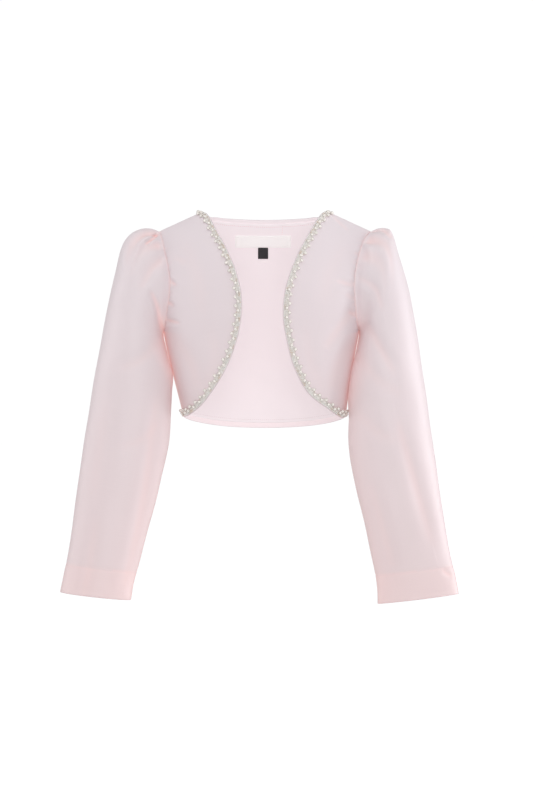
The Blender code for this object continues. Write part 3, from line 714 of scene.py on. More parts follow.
def fold_relief(points, normals, laid):
    """How far folds move each point along its normal, and how much painted warm shade it takes in a
    fold.
    """
    x, z = points[..., 0], points[..., 2]
    relief, deep = np.zeros(x.shape), np.zeros(x.shape)
    for fold in laid:
        marks = np.linspace(0, len(fold.line) - 1, FOLD_STEPS)
        px = smooth(range(len(fold.line)), [p[0] for p in fold.line], marks)
        pz = smooth(range(len(fold.line)), [p[1] for p in fold.line], marks)
        nearest, side_on, along = np.full(x.shape, 1e9), np.zeros(x.shape), np.zeros(x.shape)
        for i in range(FOLD_STEPS - 1):
            dx, dz = px[i + 1] - px[i], pz[i + 1] - pz[i]
            t = ((x - px[i]) * dx + (z - pz[i]) * dz) / (dx * dx + dz * dz)
            t = np.clip(t, 0, 1)
            ox, oz = x - px[i] - t * dx, z - pz[i] - t * dz
            gap = np.hypot(ox, oz)
            closer = gap < nearest
            nearest = np.where(closer, gap, nearest)
            side_on = np.where(closer, np.sign(dx * oz - dz * ox), side_on)
            along = np.where(closer, (i + t) / (FOLD_STEPS - 1), along)
        u = nearest * side_on * fold.lean / fold.width
        ridge = RIDGE_SHARE * near(u - RIDGE_AWAY, RIDGE_SPREAD)
        seen = stepped(FACES[fold.face] * normals[..., 1] / SEEN_FROM)
        taper = np.sqrt(np.clip(np.sin(np.pi * along), 0, 1)) * (1 - END_SHARE) + END_SHARE
        taper = taper * np.exp(-(np.clip(nearest / fold.width, 0, 9) ** 2) * 0.08) * seen
        relief -= fold.depth * (near(u, 1.0) - ridge) * taper
        steep = np.clip(fold.depth / fold.width, 0, STEEPEST)
        # Painted warm shade in the fold's valley, more where the fold is steep.
        deep += FOLD_PAINTED_SHADE * steep * near(u, WARM_REACH) * taper
    return relief, deep


def ripple(points, seed, size, depth):
    """A gentle unevenness of the cloth, from a few long waves in fixed directions."""
    dice = np.random.default_rng(seed)
    total = np.zeros(points.shape[:-1])
    for _ in range(7):
        way = unit(dice.normal(size=3)) * 2 * math.pi / (size * dice.uniform(0.7, 1.6))
        total += np.sin(points @ way + dice.uniform(0, 6.28))
    return total * depth / 7**0.5


def puckers(run, distance, seed, spacing=7.5, depth=0.8, reach=7.0):
    """Short dents square to a seam, where more cloth is eased into less."""
    dice = np.random.default_rng(seed)
    total = np.zeros(np.broadcast(run, distance).shape)
    place = spacing / 2
    while place < run.max():
        size, slant = dice.uniform(0.4, 1.0), dice.uniform(-0.5, 0.5)
        dent = near(run - place - slant * distance, 1.5 + 0.12 * distance)
        total += depth * size * dent * near(distance, reach * size)
        place += spacing * dice.uniform(0.6, 1.5)
    return total


tables = [*FRONT_FOLDS.values(), BACK_FOLDS, *SLEEVE_FOLDS.values()]
print("folds:", sum(map(len, tables)))

# %% [markdown]
# ## Normals of the form
# The form is a formula, so its outward direction at a place comes from two small steps.


# %% Normals of the form
SMALL = 0.05


def out_of(side, face, angle, fall):
    """Unit directions out of the form. On a seam they stay in the plane of the seam."""
    less, more = np.maximum(angle - SMALL, 0.01), np.minimum(angle + SMALL, 90.0)
    up, low = np.maximum(fall - SMALL, 0.0), fall + SMALL
    round_way = on_body(side, face, more, fall) - on_body(side, face, less, fall)
    down_way = on_body(side, face, angle, low) - on_body(side, face, angle, up)
    ways = round_way / (more - less)[..., None], down_way / (low - up)[..., None]
    normal = np.cross(*ways)
    normal *= np.where(normal[..., [1]] * FACES[face] < 0, -1.0, 1.0)
    top, edge = fall < 0.02, angle > 89.9
    normal[..., 1] = np.where(top | edge, 0.0, normal[..., 1])
    wrong = np.where(top, normal[..., 2] < 0, edge & (normal[..., 0] * side < 0))
    return unit(np.where(wrong[..., None], -normal, normal))


# %% [markdown]
# ## Rows down the outer edge
# Front, back and sleeve meet along one armhole. They share one way of counting down it: rows
# 0 to 11 run round the armhole from the shoulder to the armpit, and rows 11 to 17 run down
# the side seam to the hem. Fractions of a row give the finer grid.

# %% The outer edge
ARMHOLE_ROWS, SIDE_ROWS = 11, 6
LAST_ROW = ARMHOLE_ROWS + SIDE_ROWS


def outer_edge(side, face, rows):
    """(angle, fall) at fractional rows down the armhole and the side seam."""
    turn = np.clip(rows / ARMHOLE_ROWS, 0, 1) * 180
    angle, fall = armhole_at(side, face, turn)
    drop = ARMPIT_DROP + (HEM_DROP - ARMPIT_DROP) * (rows - ARMHOLE_ROWS) / SIDE_ROWS
    seam_fall = fall_at(side, face, np.full(rows.shape, 90.0), drop)
    lower = rows > ARMHOLE_ROWS
    return np.where(lower, 90.0, angle), np.where(lower, seam_fall, fall)


class FrontEdge:
    """The open edge of one front, as a smooth line on the form from the neck to the side seam."""

    def __init__(self, side):
        self.side = side
        out = np.array(FRONT_EDGE[SIDES[side] + "_out"])
        drop = np.array(FRONT_EDGE[SIDES[side] + "_drop"], float)
        self.angles, self.falls = seen_at(side, "front", out, drop)
        self.falls[0], self.angles[-1] = 0.0, 90.0
        points = on_body(side, "front", self.angles, self.falls)
        self.marks = np.append(0.0, np.cumsum(np.linalg.norm(np.diff(points, axis=0), axis=1)))
        self.length = self.marks[-1]

    def place(self, along):
        angle = smooth(self.marks, self.angles, along)
        return np.minimum(angle, 90.0), np.maximum(smooth(self.marks, self.falls, along), 0.0)

    def heading(self, along):
        before = self.place(np.maximum(along - 1, 0))
        after = self.place(np.minimum(along + 1, self.length))
        return unit(on_body(self.side, "front", *after) - on_body(self.side, "front", *before))

    def inside(self, along, distance, steps=4):
        """Places this far in from the edge. Past the shoulder seam the fall is negative."""
        angle, fall = self.place(along)
        heading = self.heading(along)
        reach = np.broadcast_to(distance, along.shape)[:, None]

        def at(angle, fall):
            return over_shoulder(self.side, angle, fall)

        for _ in range(steps):
            less, more = angle - SMALL, np.minimum(angle + SMALL, 90.0)
            round_way = (at(more, fall)[0] - at(less, fall)[0]) / (more - less)[:, None]
            down_way = (at(angle, fall + SMALL)[0] - at(angle, fall - SMALL)[0]) / (2 * SMALL)
            inward = unit(np.cross(at(angle, fall)[1], heading) * self.side)
            ways = np.stack([round_way, down_way], axis=-1)
            change = (np.linalg.pinv(ways) @ (inward * reach / steps)[..., None])[..., 0]
            angle, fall = np.minimum(angle + change[:, 0], 90.0), fall + change[:, 1]
        return angle, fall


def over_shoulder(side, angle, fall):
    """Points and normals of the front, and of the back where the fall is negative."""
    fallen, past = np.abs(fall), (fall < 0)[..., None]
    reach = np.maximum(fallen, 0.03)
    points, normals = (
        [way(side, face, angle, down) for face in ("back", "front")]
        for way, down in ((on_body, fallen), (out_of, reach))
    )
    return np.where(past, *points), np.where(past, *normals)


EDGES = {side: FrontEdge(side) for side in SIDES}
print("front edges:", {SIDES[s]: round(e.length) for s, e in EDGES.items()}, "mm")

# %% [markdown]
# ## The two fronts
# Each front is one piece of satin from the shoulder seam to the side seam, with a curved open
# edge. It is faced in the same satin, and the edge is turned, so both layers of the mesh wear
# the satin. The shell is thin, and it keeps the solid's outer face as its own.

# %% The fronts
CLOTH_WALL = 1.0
SEAM_GAP = 0.1
FRONT_GRID = (150, 90)
ARMHOLE_ROLL, SIDE_ROLL, SHOULDER_ROLL, ROLL_REACH = 0.3, 0.15, 0.3, 2.6
# Painted warm shade: in eased puckers, under the arm, and beside the side seam below the armhole.
EASE_PAINTED_SHADE, UNDERARM_PAINTED_SHADE, STITCH_REACH, SHOULDER_SHARE = 0.12, 0.16, 1.4, 0.3
CALM_BY_SEAM, CALM_BY_SHOULDER = 5.0, 8.0
BESIDE_SEAM_PAINTED_SHADE = ((0.22, 34.0), (0.5, 16.0))


def part_at_seams(points, face):
    """Keeps the seam edges, which lie in the plane y = 0, half a seam gap away from it."""
    nearest = FACES[face] * SEAM_GAP / 2
    close = points[..., 1] * FACES[face] < SEAM_GAP / 2
    points[..., 1] = np.where(close, nearest, points[..., 1])
    return points


def front_places(side, rows, shares):
    """A grid of (angle, fall) over one front."""
    edge = EDGES[side]
    end_angle, end_fall = outer_edge(side, "front", rows)
    drops = -on_body(side, "front", end_angle, end_fall)[..., 2]
    hem_start = edge.marks[-2]
    along = hem_start * (0.5 * rows / LAST_ROW + 0.5 * (drops - TIP_DROP) / (HEM_DROP - TIP_DROP))
    start_angle, start_fall = edge.place(along)
    angle = start_angle[:, None] + (end_angle - start_angle)[:, None] * shares
    fall = start_fall[:, None] + (end_fall - start_fall)[:, None] * shares
    hem_angle, hem_fall = edge.place(hem_start + (edge.length - hem_start) * shares)
    near_hem = stepped(rows - LAST_ROW + 1)[:, None]
    return angle + near_hem * (hem_angle - angle[-1]), fall + near_hem * (hem_fall - fall[-1])


def front_relief(side, points, normals):
    """Everything that moves a front's cloth off the smooth form, and the painted warm shade of its
    folds.
    """
    relief, deep = fold_relief(points, normals, FRONT_FOLDS[side])
    return relief + ripple(points, seed=5, size=60.0, depth=0.35), deep


def sewn(relief, deep, armhole, easing, to_seam, to_shoulder, to_top):
    """Relief of a front or the back where it is sewn, rolled and eased, and its painted warm shade.
    """
    relief = relief * stepped(to_seam / CALM_BY_SEAM) * stepped(to_top / CALM_BY_SHOULDER)
    relief -= easing
    roll = SIDE_ROLL + (ARMHOLE_ROLL - SIDE_ROLL) * armhole
    relief -= roll * near(to_seam, ROLL_REACH) + SHOULDER_ROLL * near(to_shoulder, ROLL_REACH)
    seams = near(to_seam, STITCH_REACH) + SHOULDER_SHARE * near(to_shoulder, STITCH_REACH)
    return relief, deep + SEAM_PAINTED_SHADE * seams + EASE_PAINTED_SHADE * easing


def make_front(side):
    rows = np.linspace(0, LAST_ROW, FRONT_GRID[0])
    shares = np.linspace(0, 1, FRONT_GRID[1])
    angle, fall = front_places(side, rows, shares)
    points = on_body(side, "front", angle, fall)
    normals = out_of(side, "front", angle, fall)
    relief, deep = front_relief(side, points, normals)
    to_seam = lengths_along(points[:, ::-1], 1)[:, ::-1]
    to_shoulder = lengths_along(points, 0)
    armhole = stepped(ARMHOLE_ROWS - rows)[:, None]
    easing = armhole * puckers(to_shoulder[:, [-1]], to_seam, 40 + int(side))
    measures = (armhole, easing, to_seam, to_shoulder, to_shoulder)
    relief, deep = sewn(relief, deep, *measures)
    # Painted warm shade beside the side seam, below the armhole.
    deep += (1 - armhole) * sum(warm * near(to_seam, reach) for warm, reach in BESIDE_SEAM_PAINTED_SHADE)
    points = part_at_seams(points + normals * relief[..., None], "front")
    made = ("satin_front_" + SIDES[side], points, normals, CLOTH_WALL, (satin, satin))
    return cloth_piece(*made, np.clip(deep, 0, 1), hems=("left", "foot"), face="front")


fronts = {side: make_front(side) for side in SIDES}

# %% [markdown]
# ## The back and its lining
# The back is cut in one, from side seam to side seam. Its lining is cut a little smaller, so
# that a narrow band of the satin shows round it at the neck and the hem. The lining is made
# from the back's own points, moved in, so the two never cross.

# %% The back and its lining
BACK_ROWS, YOKE_COLUMNS, NECK_COLUMNS = 140, 40, 90
LINING_WALL, LINING_GAP = 0.8, 0.7
LINING_SHOWS = {"top": 5.0, "foot": 6.0, "side": 3.0}


def back_places(rows):
    """A grid of (signed angle, fall) over the back, with columns at both neck corners."""
    neck = {}
    for side in SIDES:
        angles, falls = seen_at(side, "back", *map(np.array, BACK_NECK.values()))
        falls[0] = 0.0
        neck[side] = (angles[::-1], falls[::-1])
    tip_angle = outer_edge(RIGHT, "back", np.zeros(1))[0][0]
    neck_share = neck[RIGHT][0][-1] / tip_angle
    yoke = np.linspace(neck_share, 1, YOKE_COLUMNS)
    middle = np.linspace(-neck_share, neck_share, NECK_COLUMNS)[1:-1]
    shares = np.concatenate([-yoke[::-1], middle, yoke])
    angle_grid, fall_grid = np.zeros((2, len(rows), len(shares)))
    edges = {side: outer_edge(side, "back", rows) for side in SIDES}
    middle_down = sum(fall / fall[-1] for _, fall in edges.values()) / 2
    for side in SIDES:
        mine = shares < 0 if side == LEFT else shares >= 0
        end_angle, end_fall = edges[side]
        side_tip = end_angle[0]
        in_neck = np.abs(shares[mine]) < neck_share - 1e-6
        corner = neck[side][0][-1] / side_tip
        share = np.interp(np.abs(shares[mine]), (0, neck_share, 1), (0, corner, 1))
        top = np.where(in_neck, smooth(*neck[side], share * side_tip), 0.0)
        angle = share * end_angle[:, None]
        dip = BACK_HEM_DIP * np.maximum(np.cos(np.radians(angle)), 0) ** BACK_HEM_CURVE
        bottom = fall_at(side, "back", angle, HEM_DROP + dip)
        down = middle_down[:, None] + share * (end_fall / end_fall[-1] - middle_down)[:, None]
        angle_grid[:, mine] = side * angle
        fall_grid[:, mine] = top + (bottom - top) * down
    return angle_grid, fall_grid


def make_back():
    rows = np.linspace(0, LAST_ROW, BACK_ROWS)
    signed, fall = back_places(rows)
    side, angle = np.where(signed < 0, LEFT, RIGHT), np.abs(signed)
    points, normals = on_body(side, "back", angle, fall), out_of(side, "back", angle, fall)
    relief, deep = fold_relief(points, normals, BACK_FOLDS)
    relief += ripple(points, seed=8, size=70.0, depth=0.4)
    from_left, to_top = lengths_along(points, 1), lengths_along(points, 0)
    to_right = from_left[:, -1:] - from_left
    to_seam = np.minimum(from_left, to_right)
    to_shoulder = to_top + np.where(fall[0] > 0.5, 1e3, 0.0)
    armhole = stepped(ARMHOLE_ROWS - rows)[:, None]
    left_puckers = puckers(to_top[:, [0]], from_left, 51)
    easing = armhole * (left_puckers + puckers(to_top[:, [-1]], to_right, 52))
    relief, deep = sewn(relief, deep, armhole, easing, to_seam, to_shoulder, to_top)
    points = part_at_seams(points + normals * relief[..., None], "back")
    made = ("satin_back", points, normals, CLOTH_WALL, (satin, inner_satin))
    piece = cloth_piece(*made, np.clip(deep, 0, 1), hems=("top", "foot"), face="back")
    return piece, points, normals


def cut_short(grids, shares, start, end):
    """Grids whose columns lose these lengths at both ends. The first grid is measured."""
    along = lengths_along(grids[0], 0)
    results = [np.empty(grid.shape) for grid in grids]
    for c in range(along.shape[1]):
        want = start + shares[:, c] * (along[-1, c] - start - end)
        for grid, result in zip(grids, results):
            for axis in range(3):
                result[:, c, axis] = np.interp(want, along[:, c], grid[:, c, axis])
    return results


def inset_grid(points, normals):
    """The back's grid drawn in from all four edges by the widths that the satin shows."""
    shares = np.tile(np.linspace(0, 1, len(points))[:, None], points.shape[1])
    ends = LINING_SHOWS["top"], LINING_SHOWS["foot"]
    grids = cut_short((points, normals), shares, *ends)
    across = lengths_along(grids[0], 1)
    turned = [grid.swapaxes(0, 1) for grid in grids]
    shares = (across / across[:, -1:]).T
    turned = cut_short(turned, shares, LINING_SHOWS["side"], LINING_SHOWS["side"])
    points, normals = (grid.swapaxes(0, 1) for grid in turned)
    return points, unit(normals)


back, back_points, back_normals = make_back()
lining_points, lining_normals = inset_grid(back_points, back_normals)
lining_points = lining_points - lining_normals * (CLOTH_WALL + LINING_GAP)
lining_look = (LINING_WALL, (lining_cloth, lining_cloth))
back_lining = cloth_piece("lining_of_back", lining_points, lining_normals, *lining_look)

# %% [markdown]
# ## The sleeves
# A sleeve head is cut longer than the armhole and gathered into it, so small folds fan out
# from the seam and die away over the upper arm. Sections taken from the photograph give the
# outer and inner line of each sleeve, and a smooth curve between them gives the rest. Near
# the armhole the ring keeps the shape of the seam, and lower down it is an oval.

# %% Sizes of the sleeves
SLEEVES = {
    LEFT: {
        "outer_out": (136, 142.5, 153, 164.5, 174, 180.3, 186, 192.5, 199, 206.2, 214.9, 222,
            229.5, 236, 242.5, 248.5, 252.8),
        "outer_drop": (22.6, 20.7, 20.6, 25, 34, 48, 72, 98, 132, 173, 224, 270, 319, 370.5,
            421.5, 450, 471.3),
        "inner_out": (129, 129.6, 129.2, 128.4, 127.5, 126.2, 124.7, 122.9, 120.3, 116.4,
            116.8, 119.8, 129.8, 142, 154.5, 161.7, 165),
        "inner_drop": (149.6, 151.2, 153.6, 156.5, 159.5, 163, 169, 177, 188.5, 206, 243, 290,
            337, 386.5, 434.5, 461, 481.2),
        "half_depth": (38, 40, 41.5, 42.5, 43, 43, 43, 42.5, 42, 41, 39.5, 38, 35, 32, 29,
            27.5, 27),
        "forward": (0, 0.5, 1, 2, 3, 4, 6, 8, 11, 14, 18, 22, 27, 33, 40, 44, 47),
    },
    RIGHT: {
        "outer_out": (135.5, 141, 149, 156.5, 161.5, 166.5, 172.5, 180, 186, 192, 199.5, 206.3,
            213.6, 221, 229, 234.6, 239),
        "outer_drop": (22.6, 20.6, 20.3, 23.2, 34, 52, 73, 103, 136, 172, 224, 275, 324, 376.5,
            425, 451, 473.4),
        "inner_out": (119.4, 120.1, 119.8, 119.1, 118.2, 117, 115.7, 113.9, 111.6, 108.9,
            104.6, 104.4, 111.9, 123.8, 134, 137.5, 138.6),
        "inner_drop": (149.6, 151.2, 153.6, 156.5, 159.5, 163.5, 169.5, 178, 190, 206, 243,
            295.5, 342, 394.5, 440, 464, 485.8),
        "half_depth": (38, 40, 41.5, 42.5, 43, 43.5, 43.5, 43, 42, 41, 39.5, 38, 34, 29, 24,
            21.5, 20),
        "forward": (0, 0.5, 1, 2, 4, 6, 8, 11, 14, 17, 21, 25, 30, 36, 42, 46, 48),
    },
}
OWN_OVAL_AFTER = 6.0
SLEEVE_COLUMNS = 270
SLEEVE_STEPS = ((0, 6, 80), (6, 15, 66), (15, 17, 24))
ALLOWANCE = ((3.1, 5.0), (3.0, 2.6), (2.5, 0.8), (1.4, 0.0))
# Painted warm shade on the turned-in allowance, on the turned-up cuff and in its groove.
ALLOWANCE_PAINTED_SHADE, HEM_PAINTED_SHADE, GROOVE_PAINTED_SHADE = 0.3, 0.10, 0.06
Gather = namedtuple("Gather", "turn drift width depth reach")
GATHERS = {
    LEFT: (
        Gather(-56, -14, 6.0, 2.4, 34),
        Gather(-34, -12, 6.0, 3.2, 44),
        Gather(-12, -6, 6.0, 2.6, 34),
        Gather(15, 30, 7.0, 8.0, 52),
        Gather(45, 16, 6.0, 3.6, 44),
        Gather(68, 12, 7.0, 2.0, 34),
    ),
    RIGHT: (
        Gather(-58, -12, 6.0, 2.2, 32),
        Gather(-34, -12, 6.0, 3.0, 42),
        Gather(-12, -8, 6.0, 2.8, 36),
        Gather(11, 10, 6.0, 3.4, 40),
        Gather(36, 16, 6.5, 4.6, 50),
        Gather(62, 12, 6.5, 2.6, 38),
    ),
}
FULL_GATHER_AT = 6.0
FINE_GATHERS, FINE_SEED, GATHERED_TURN, HEAD_TURN, FINE_DRIFT = 26, 31, 300, 85, 8
FINE_SIZES = {"depth": (0.35, 1.0), "reach": (10, 22), "width": (2.2, 1.2)}
GROOVE_WIDTH, GROOVE_DEPTH, UNDERARM_TURN, SLEEVE_ROLL_REACH = 1.8, 0.3, 42, 2.4
CALM_BY_CUFF, CALMEST = 12.0, 0.3
# Painted warm shade where the underarm is pressed towards the body.
PRESSED_PAINTED_SHADE = {LEFT: 0.15, RIGHT: 0.06}
HEM_ABOVE_CUFF = 35.0
PRESSED = {
    LEFT: (
        (0, 2, 4, 6, 8, 11, 14, 22, 32, 50, 60, 80),
        (0, 1.9, 2.7, 2.4, 2.2, 1.6, 1.25, 1.2, 1.55, 1.9, 1.8, 0),
    ),
    RIGHT: (
        (0, 2, 4, 6, 8, 11, 14, 22, 32, 50, 70, 85, 115),
        (0, 1.9, 2.6, 2.2, 2.1, 1.7, 1.4, 1.1, 1.1, 2.3, 2.8, 2.9, 0),
    ),
}


# %% The sleeves
def signed_turn(turns):
    """Turns of a ring from -180 to 180: the front's are positive and the back's negative."""
    return (turns + 180) % 360 - 180


def by_face(turns):
    """Which columns of a ring lie on each face, with their turns down the armhole."""
    signed = signed_turn(turns)
    for face, mine in (("front", signed >= 0), ("back", signed < 0)):
        yield face, mine, np.abs(signed[mine])


def towards(ways, aims):
    """The same directions, turned round where they point away from their aims."""
    return ways * np.where(dot(ways, aims) > 0, 1.0, -1.0)[:, None]


def seam_ring(side, turns):
    """The armhole seam on the sleeve's side of the gap, at turns from 0 to 360."""
    points = np.empty((len(turns), 3))
    hole_middle = np.array([side * TIP_OUT, 0.0, -(TIP_DROP + ARMPIT_DROP) / 2])
    for face, mine, turn in by_face(turns):
        here = part_at_seams(on_body(side, face, *armhole_at(side, face, turn)), face)
        low = on_body(side, face, *armhole_at(side, face, np.maximum(turn - 1, 0)))
        high = on_body(side, face, *armhole_at(side, face, np.minimum(turn + 1, 180)))
        away = unit(np.cross(high - low, out_of(side, face, *armhole_at(side, face, turn))))
        points[mine] = here + towards(away, hole_middle - here) * SEAM_GAP
    return points


def seam_allowance(side, turns, seam):
    """Rows of the sleeve that are turned in at the armhole, under the front and the back."""
    normals = np.empty((len(turns), 3))
    along = unit(np.roll(seam, -1, axis=0) - np.roll(seam, 1, axis=0))
    for face, mine, turn in by_face(turns):
        normals[mine] = out_of(side, face, *armhole_at(side, face, turn))
    away = towards(unit(np.cross(along, normals)), seam.mean(axis=0) - seam)
    return np.stack([seam - normals * deep - away * under for deep, under in ALLOWANCE])


def gathers_at(turns, away, gathers):
    """How deep the gathers are at these turns, so far away from the seam."""
    depth = np.zeros(np.broadcast(turns, away).shape)
    for gather in gathers:
        along = np.minimum(away / gather.reach, 1.0)
        swell = np.minimum(away / FULL_GATHER_AT, 1.0) * (1 - along) ** 1.3
        offset = signed_turn(turns) - gather.turn - gather.drift * along
        depth += gather.depth * swell * near(offset, gather.width * (1 + along))
    return depth


def fine_gathers(side):
    """Small puckers round the armhole: each size is its least, and what the head adds."""
    dice = np.random.default_rng(FINE_SEED + int(side))
    found = []
    for i in range(FINE_GATHERS):
        turn = GATHERED_TURN * ((i + 0.5) / FINE_GATHERS - 0.5) + dice.uniform(-3, 3)
        head = near(turn, HEAD_TURN)
        depth, reach, width = (least + more * head for least, more in FINE_SIZES.values())
        depth, reach = depth * dice.uniform(0.5, 1.2), reach * dice.uniform(0.7, 1.3)
        found.append(Gather(turn, math.copysign(FINE_DRIFT, turn), width, depth, reach))
    return found


def sleeve_form(side, steps, turns):
    """Points of a sleeve from the seam (step 0) to the cuff (17), its middle and its gathers."""
    seam = seam_ring(side, turns)
    top, foot = seam[0], seam[np.abs(turns - 180).argmin()]
    table = SLEEVES[side]
    first = {"outer_out": side * top[0], "outer_drop": -top[2], "inner_out": side * foot[0]}
    first.update(inner_drop=-foot[2], half_depth=np.abs(seam[:, 1]).max(), forward=0.0)
    index = np.arange(len(table["forward"]) + 1)
    size = {
        name: smooth(index, (first[name],) + column, steps)[:, None]
        for name, column in table.items()
    }
    zero = np.zeros_like(steps)[:, None]
    outer = np.stack([side * size["outer_out"], zero, -size["outer_drop"]], axis=-1)
    inner = np.stack([side * size["inner_out"], zero, -size["inner_drop"]], axis=-1)
    chord = outer - inner
    bow_way = unit(np.stack([-chord[..., 2], zero, chord[..., 0]], axis=-1))
    seam_chord = top - foot
    seam_bow = unit(np.array([-seam_chord[2], 0.0, seam_chord[0]]))
    own = stepped(steps / OWN_OVAL_AFTER)[:, None]
    offset = seam - foot
    up_share = dot(offset, seam_chord) / dot(seam_chord, seam_chord)
    up_share = up_share + ((1 + np.cos(np.radians(turns))) / 2 - up_share) * own
    depth = seam[:, 1] / np.abs(seam[:, 1]).max()
    depth = depth + (-np.sin(np.radians(turns)) - depth) * own
    bow = dot(offset, seam_bow) * (1 - own)
    points = inner + chord * up_share[..., None] + bow_way * bow[..., None]
    points[..., 1] = depth * size["half_depth"] - size["forward"]
    middle = (outer + inner) / 2
    middle[..., 1] = -size["forward"]
    lead = np.linalg.norm(outer - top, axis=-1)
    away = lead * np.maximum(np.cos(np.radians(turns) / 2), 0.0) ** 2
    drawn = gathers_at(turns, away, GATHERS[side])
    return points + unit(middle - points) * drawn[..., None], middle, drawn


def sleeve_steps():
    """Steps that are close together at the gathered head and at the cuff."""
    last = len(SLEEVE_STEPS) - 1
    runs = [np.linspace(*run, endpoint=i == last) for i, run in enumerate(SLEEVE_STEPS)]
    return np.concatenate(runs)


def make_sleeve(side):
    turns = np.arange(SLEEVE_COLUMNS) * 360.0 / SLEEVE_COLUMNS
    points, middle, drawn = sleeve_form(side, sleeve_steps(), turns)
    normals = grid_normals(points, points - middle, closed=True)
    from_seam = lengths_along(points, 0)
    from_cuff = from_seam[-1] - from_seam
    relief, deep = fold_relief(points, normals, SLEEVE_FOLDS[side])
    relief += ripple(points, seed=12 + int(side), size=75.0, depth=0.5)
    eased = gathers_at(turns, from_seam, fine_gathers(side))
    relief = relief * stepped(from_seam / CALM_BY_SEAM) - eased
    relief *= stepped(from_cuff / CALM_BY_CUFF + CALMEST)
    groove = near(from_cuff - HEM_ABOVE_CUFF, GROOVE_WIDTH)
    under = near(turns - 180, UNDERARM_TURN)
    pressed = under * smooth(*PRESSED[side], from_seam)
    relief += pressed - GROOVE_DEPTH * groove
    relief -= ARMHOLE_ROLL * near(from_seam, SLEEVE_ROLL_REACH)
    # Painted warm shade along the seam, in the cuff's groove and band, under the arm, where it is
    # pressed, and in the gathers.
    deep += GROOVE_PAINTED_SHADE * groove + SEAM_PAINTED_SHADE * near(from_seam, STITCH_REACH)
    deep += UNDERARM_PAINTED_SHADE * under + PRESSED_PAINTED_SHADE[side] * pressed
    deep += HEM_PAINTED_SHADE * (from_cuff < HEM_ABOVE_CUFF) + np.clip((drawn + eased) / 14, 0, 0.3)
    points = points + normals * relief[..., None]
    seam = seam_ring(side, turns)
    points[0] = seam - normals[0] * ARMHOLE_ROLL
    turned_in = seam_allowance(side, turns, seam)
    points = np.concatenate([turned_in, points])
    # The turned-in allowance takes painted warm shade all over.
    deep = np.concatenate([np.full(turned_in.shape[:2], ALLOWANCE_PAINTED_SHADE), deep])
    ways = np.concatenate([np.repeat(normals[:1], len(turned_in), axis=0), normals])
    normals = grid_normals(points, ways, True)
    made = ("satin_sleeve_" + SIDES[side], points, normals, CLOTH_WALL, (satin, satin))
    piece = cloth_piece(*made, np.clip(deep, 0, 1), closed=True, hems=("foot",))
    return piece, points, normals


sleeves, sleeve_points = {}, {}
for side in SIDES:
    sleeves[side], *sleeve_points[side] = make_sleeve(side)

# %% [markdown]
# ## Braid, beads and pearls
# The trim is sewn by hand along each front edge, a few millimetres in. On the real jacket it
# is a silver braid, with a close row of small beads on its outer side and pearls in two rows
# that take turns. What repeats along a path is made with Geometry Nodes: a line is cut into
# even steps, a ball is set at each step with a random size, and the result becomes one mesh.


# %% Rows along a line
ROW_INPUTS = {
    "Pitch": "Float",
    "Radius": "Float",
    "Length Share": "Float",
    "Unevenness": "Float",
    "Seed": "Int",
    "Rings": "Int",
    "Finish": "Material",
}


def row_tree():
    """Nodes that set balls, or short stitches, at even steps along a line."""
    tree = bpy.data.node_groups.new("row_along_a_line", "GeometryNodeTree")

    def add(kind, inputs, **settings):
        node = tree.nodes.new(kind)
        for name, value in settings.items():
            setattr(node, name, value)
        for key, value in inputs.items():
            if isinstance(value, bpy.types.NodeSocket):
                tree.links.new(value, node.inputs[key])
            else:
                node.inputs[key].default_value = value
        return node.outputs

    def socket(name, kind, way):
        tree.interface.new_socket(name, in_out=way, socket_type="NodeSocket" + kind)

    socket("Geometry", "Geometry", "OUTPUT")
    socket("Geometry", "Geometry", "INPUT")
    for name, kind in ROW_INPUTS.items():
        socket(name, kind, "INPUT")
    given = tree.nodes.new("NodeGroupInput").outputs
    curve = add("GeometryNodeMeshToCurve", {0: given["Geometry"]})[0]
    even = {"Curve": curve, "Length": given["Pitch"]}
    steps = add("GeometryNodeCurveToPoints", even, mode="LENGTH")
    round_ball = {"Segments": 10, "Rings": given["Rings"], "Radius": given["Radius"]}
    ball = add("GeometryNodeMeshUVSphere", round_ball)["Mesh"]
    smaller = add("ShaderNodeMath", {0: 1.0, 1: given["Unevenness"]}, operation="SUBTRACT")[0]
    chance = {2: smaller, 3: 1.0, "Seed": given["Seed"]}
    size = add("FunctionNodeRandomValue", chance, data_type="FLOAT")[1]
    shape = add("ShaderNodeCombineXYZ", {"X": 1.0, "Y": 1.0, "Z": given["Length Share"]})[0]
    scale = add("ShaderNodeVectorMath", {0: shape, "Scale": size}, operation="SCALE")[0]
    seats = {"Points": steps["Points"], "Rotation": steps["Rotation"]}
    placed = add("GeometryNodeInstanceOnPoints", {**seats, "Instance": ball, "Scale": scale})[0]
    real = add("GeometryNodeRealizeInstances", {0: placed})[0]
    rounded = add("GeometryNodeSetShadeSmooth", {0: real})[0]
    coated = add("GeometryNodeSetMaterial", {0: rounded, "Material": given["Finish"]})[0]
    tree.links.new(coated, tree.nodes.new("NodeGroupOutput").inputs[0])
    return tree


ROW_TREE = row_tree()


def row_along(name, lines, finish, pitch, radius, stretch=1.0, uneven=0.12, seed=1, rings=7):
    """One mesh of balls or stitches along lines of points, in millimetres."""
    vertices, wires = [], []
    for line in lines:
        wires += [(len(vertices) + i, len(vertices) + i + 1) for i in range(len(line) - 1)]
        vertices += (np.asarray(line) * MM).tolist()
    path = bpy.data.meshes.new(name + "_path")
    path.from_pydata(vertices, wires, [])
    holder = put(name + "_path", path)
    row = holder.modifiers.new("Row", "NODES")
    row.node_group = ROW_TREE
    given = (pitch * MM, radius * MM, stretch, uneven, seed, rings, finish)
    values = dict(zip(ROW_INPUTS, given))
    for item in ROW_TREE.interface.items_tree:
        if item.in_out == "INPUT" and item.name in values:
            row[item.identifier] = values[item.name]
    bpy.context.view_layer.update()
    found = holder.evaluated_get(bpy.context.evaluated_depsgraph_get())
    mesh = bpy.data.meshes.new_from_object(found)
    mesh.name = name
    bpy.data.objects.remove(holder)
    print(name, len(mesh.polygons), "faces")
    return put(name, mesh)


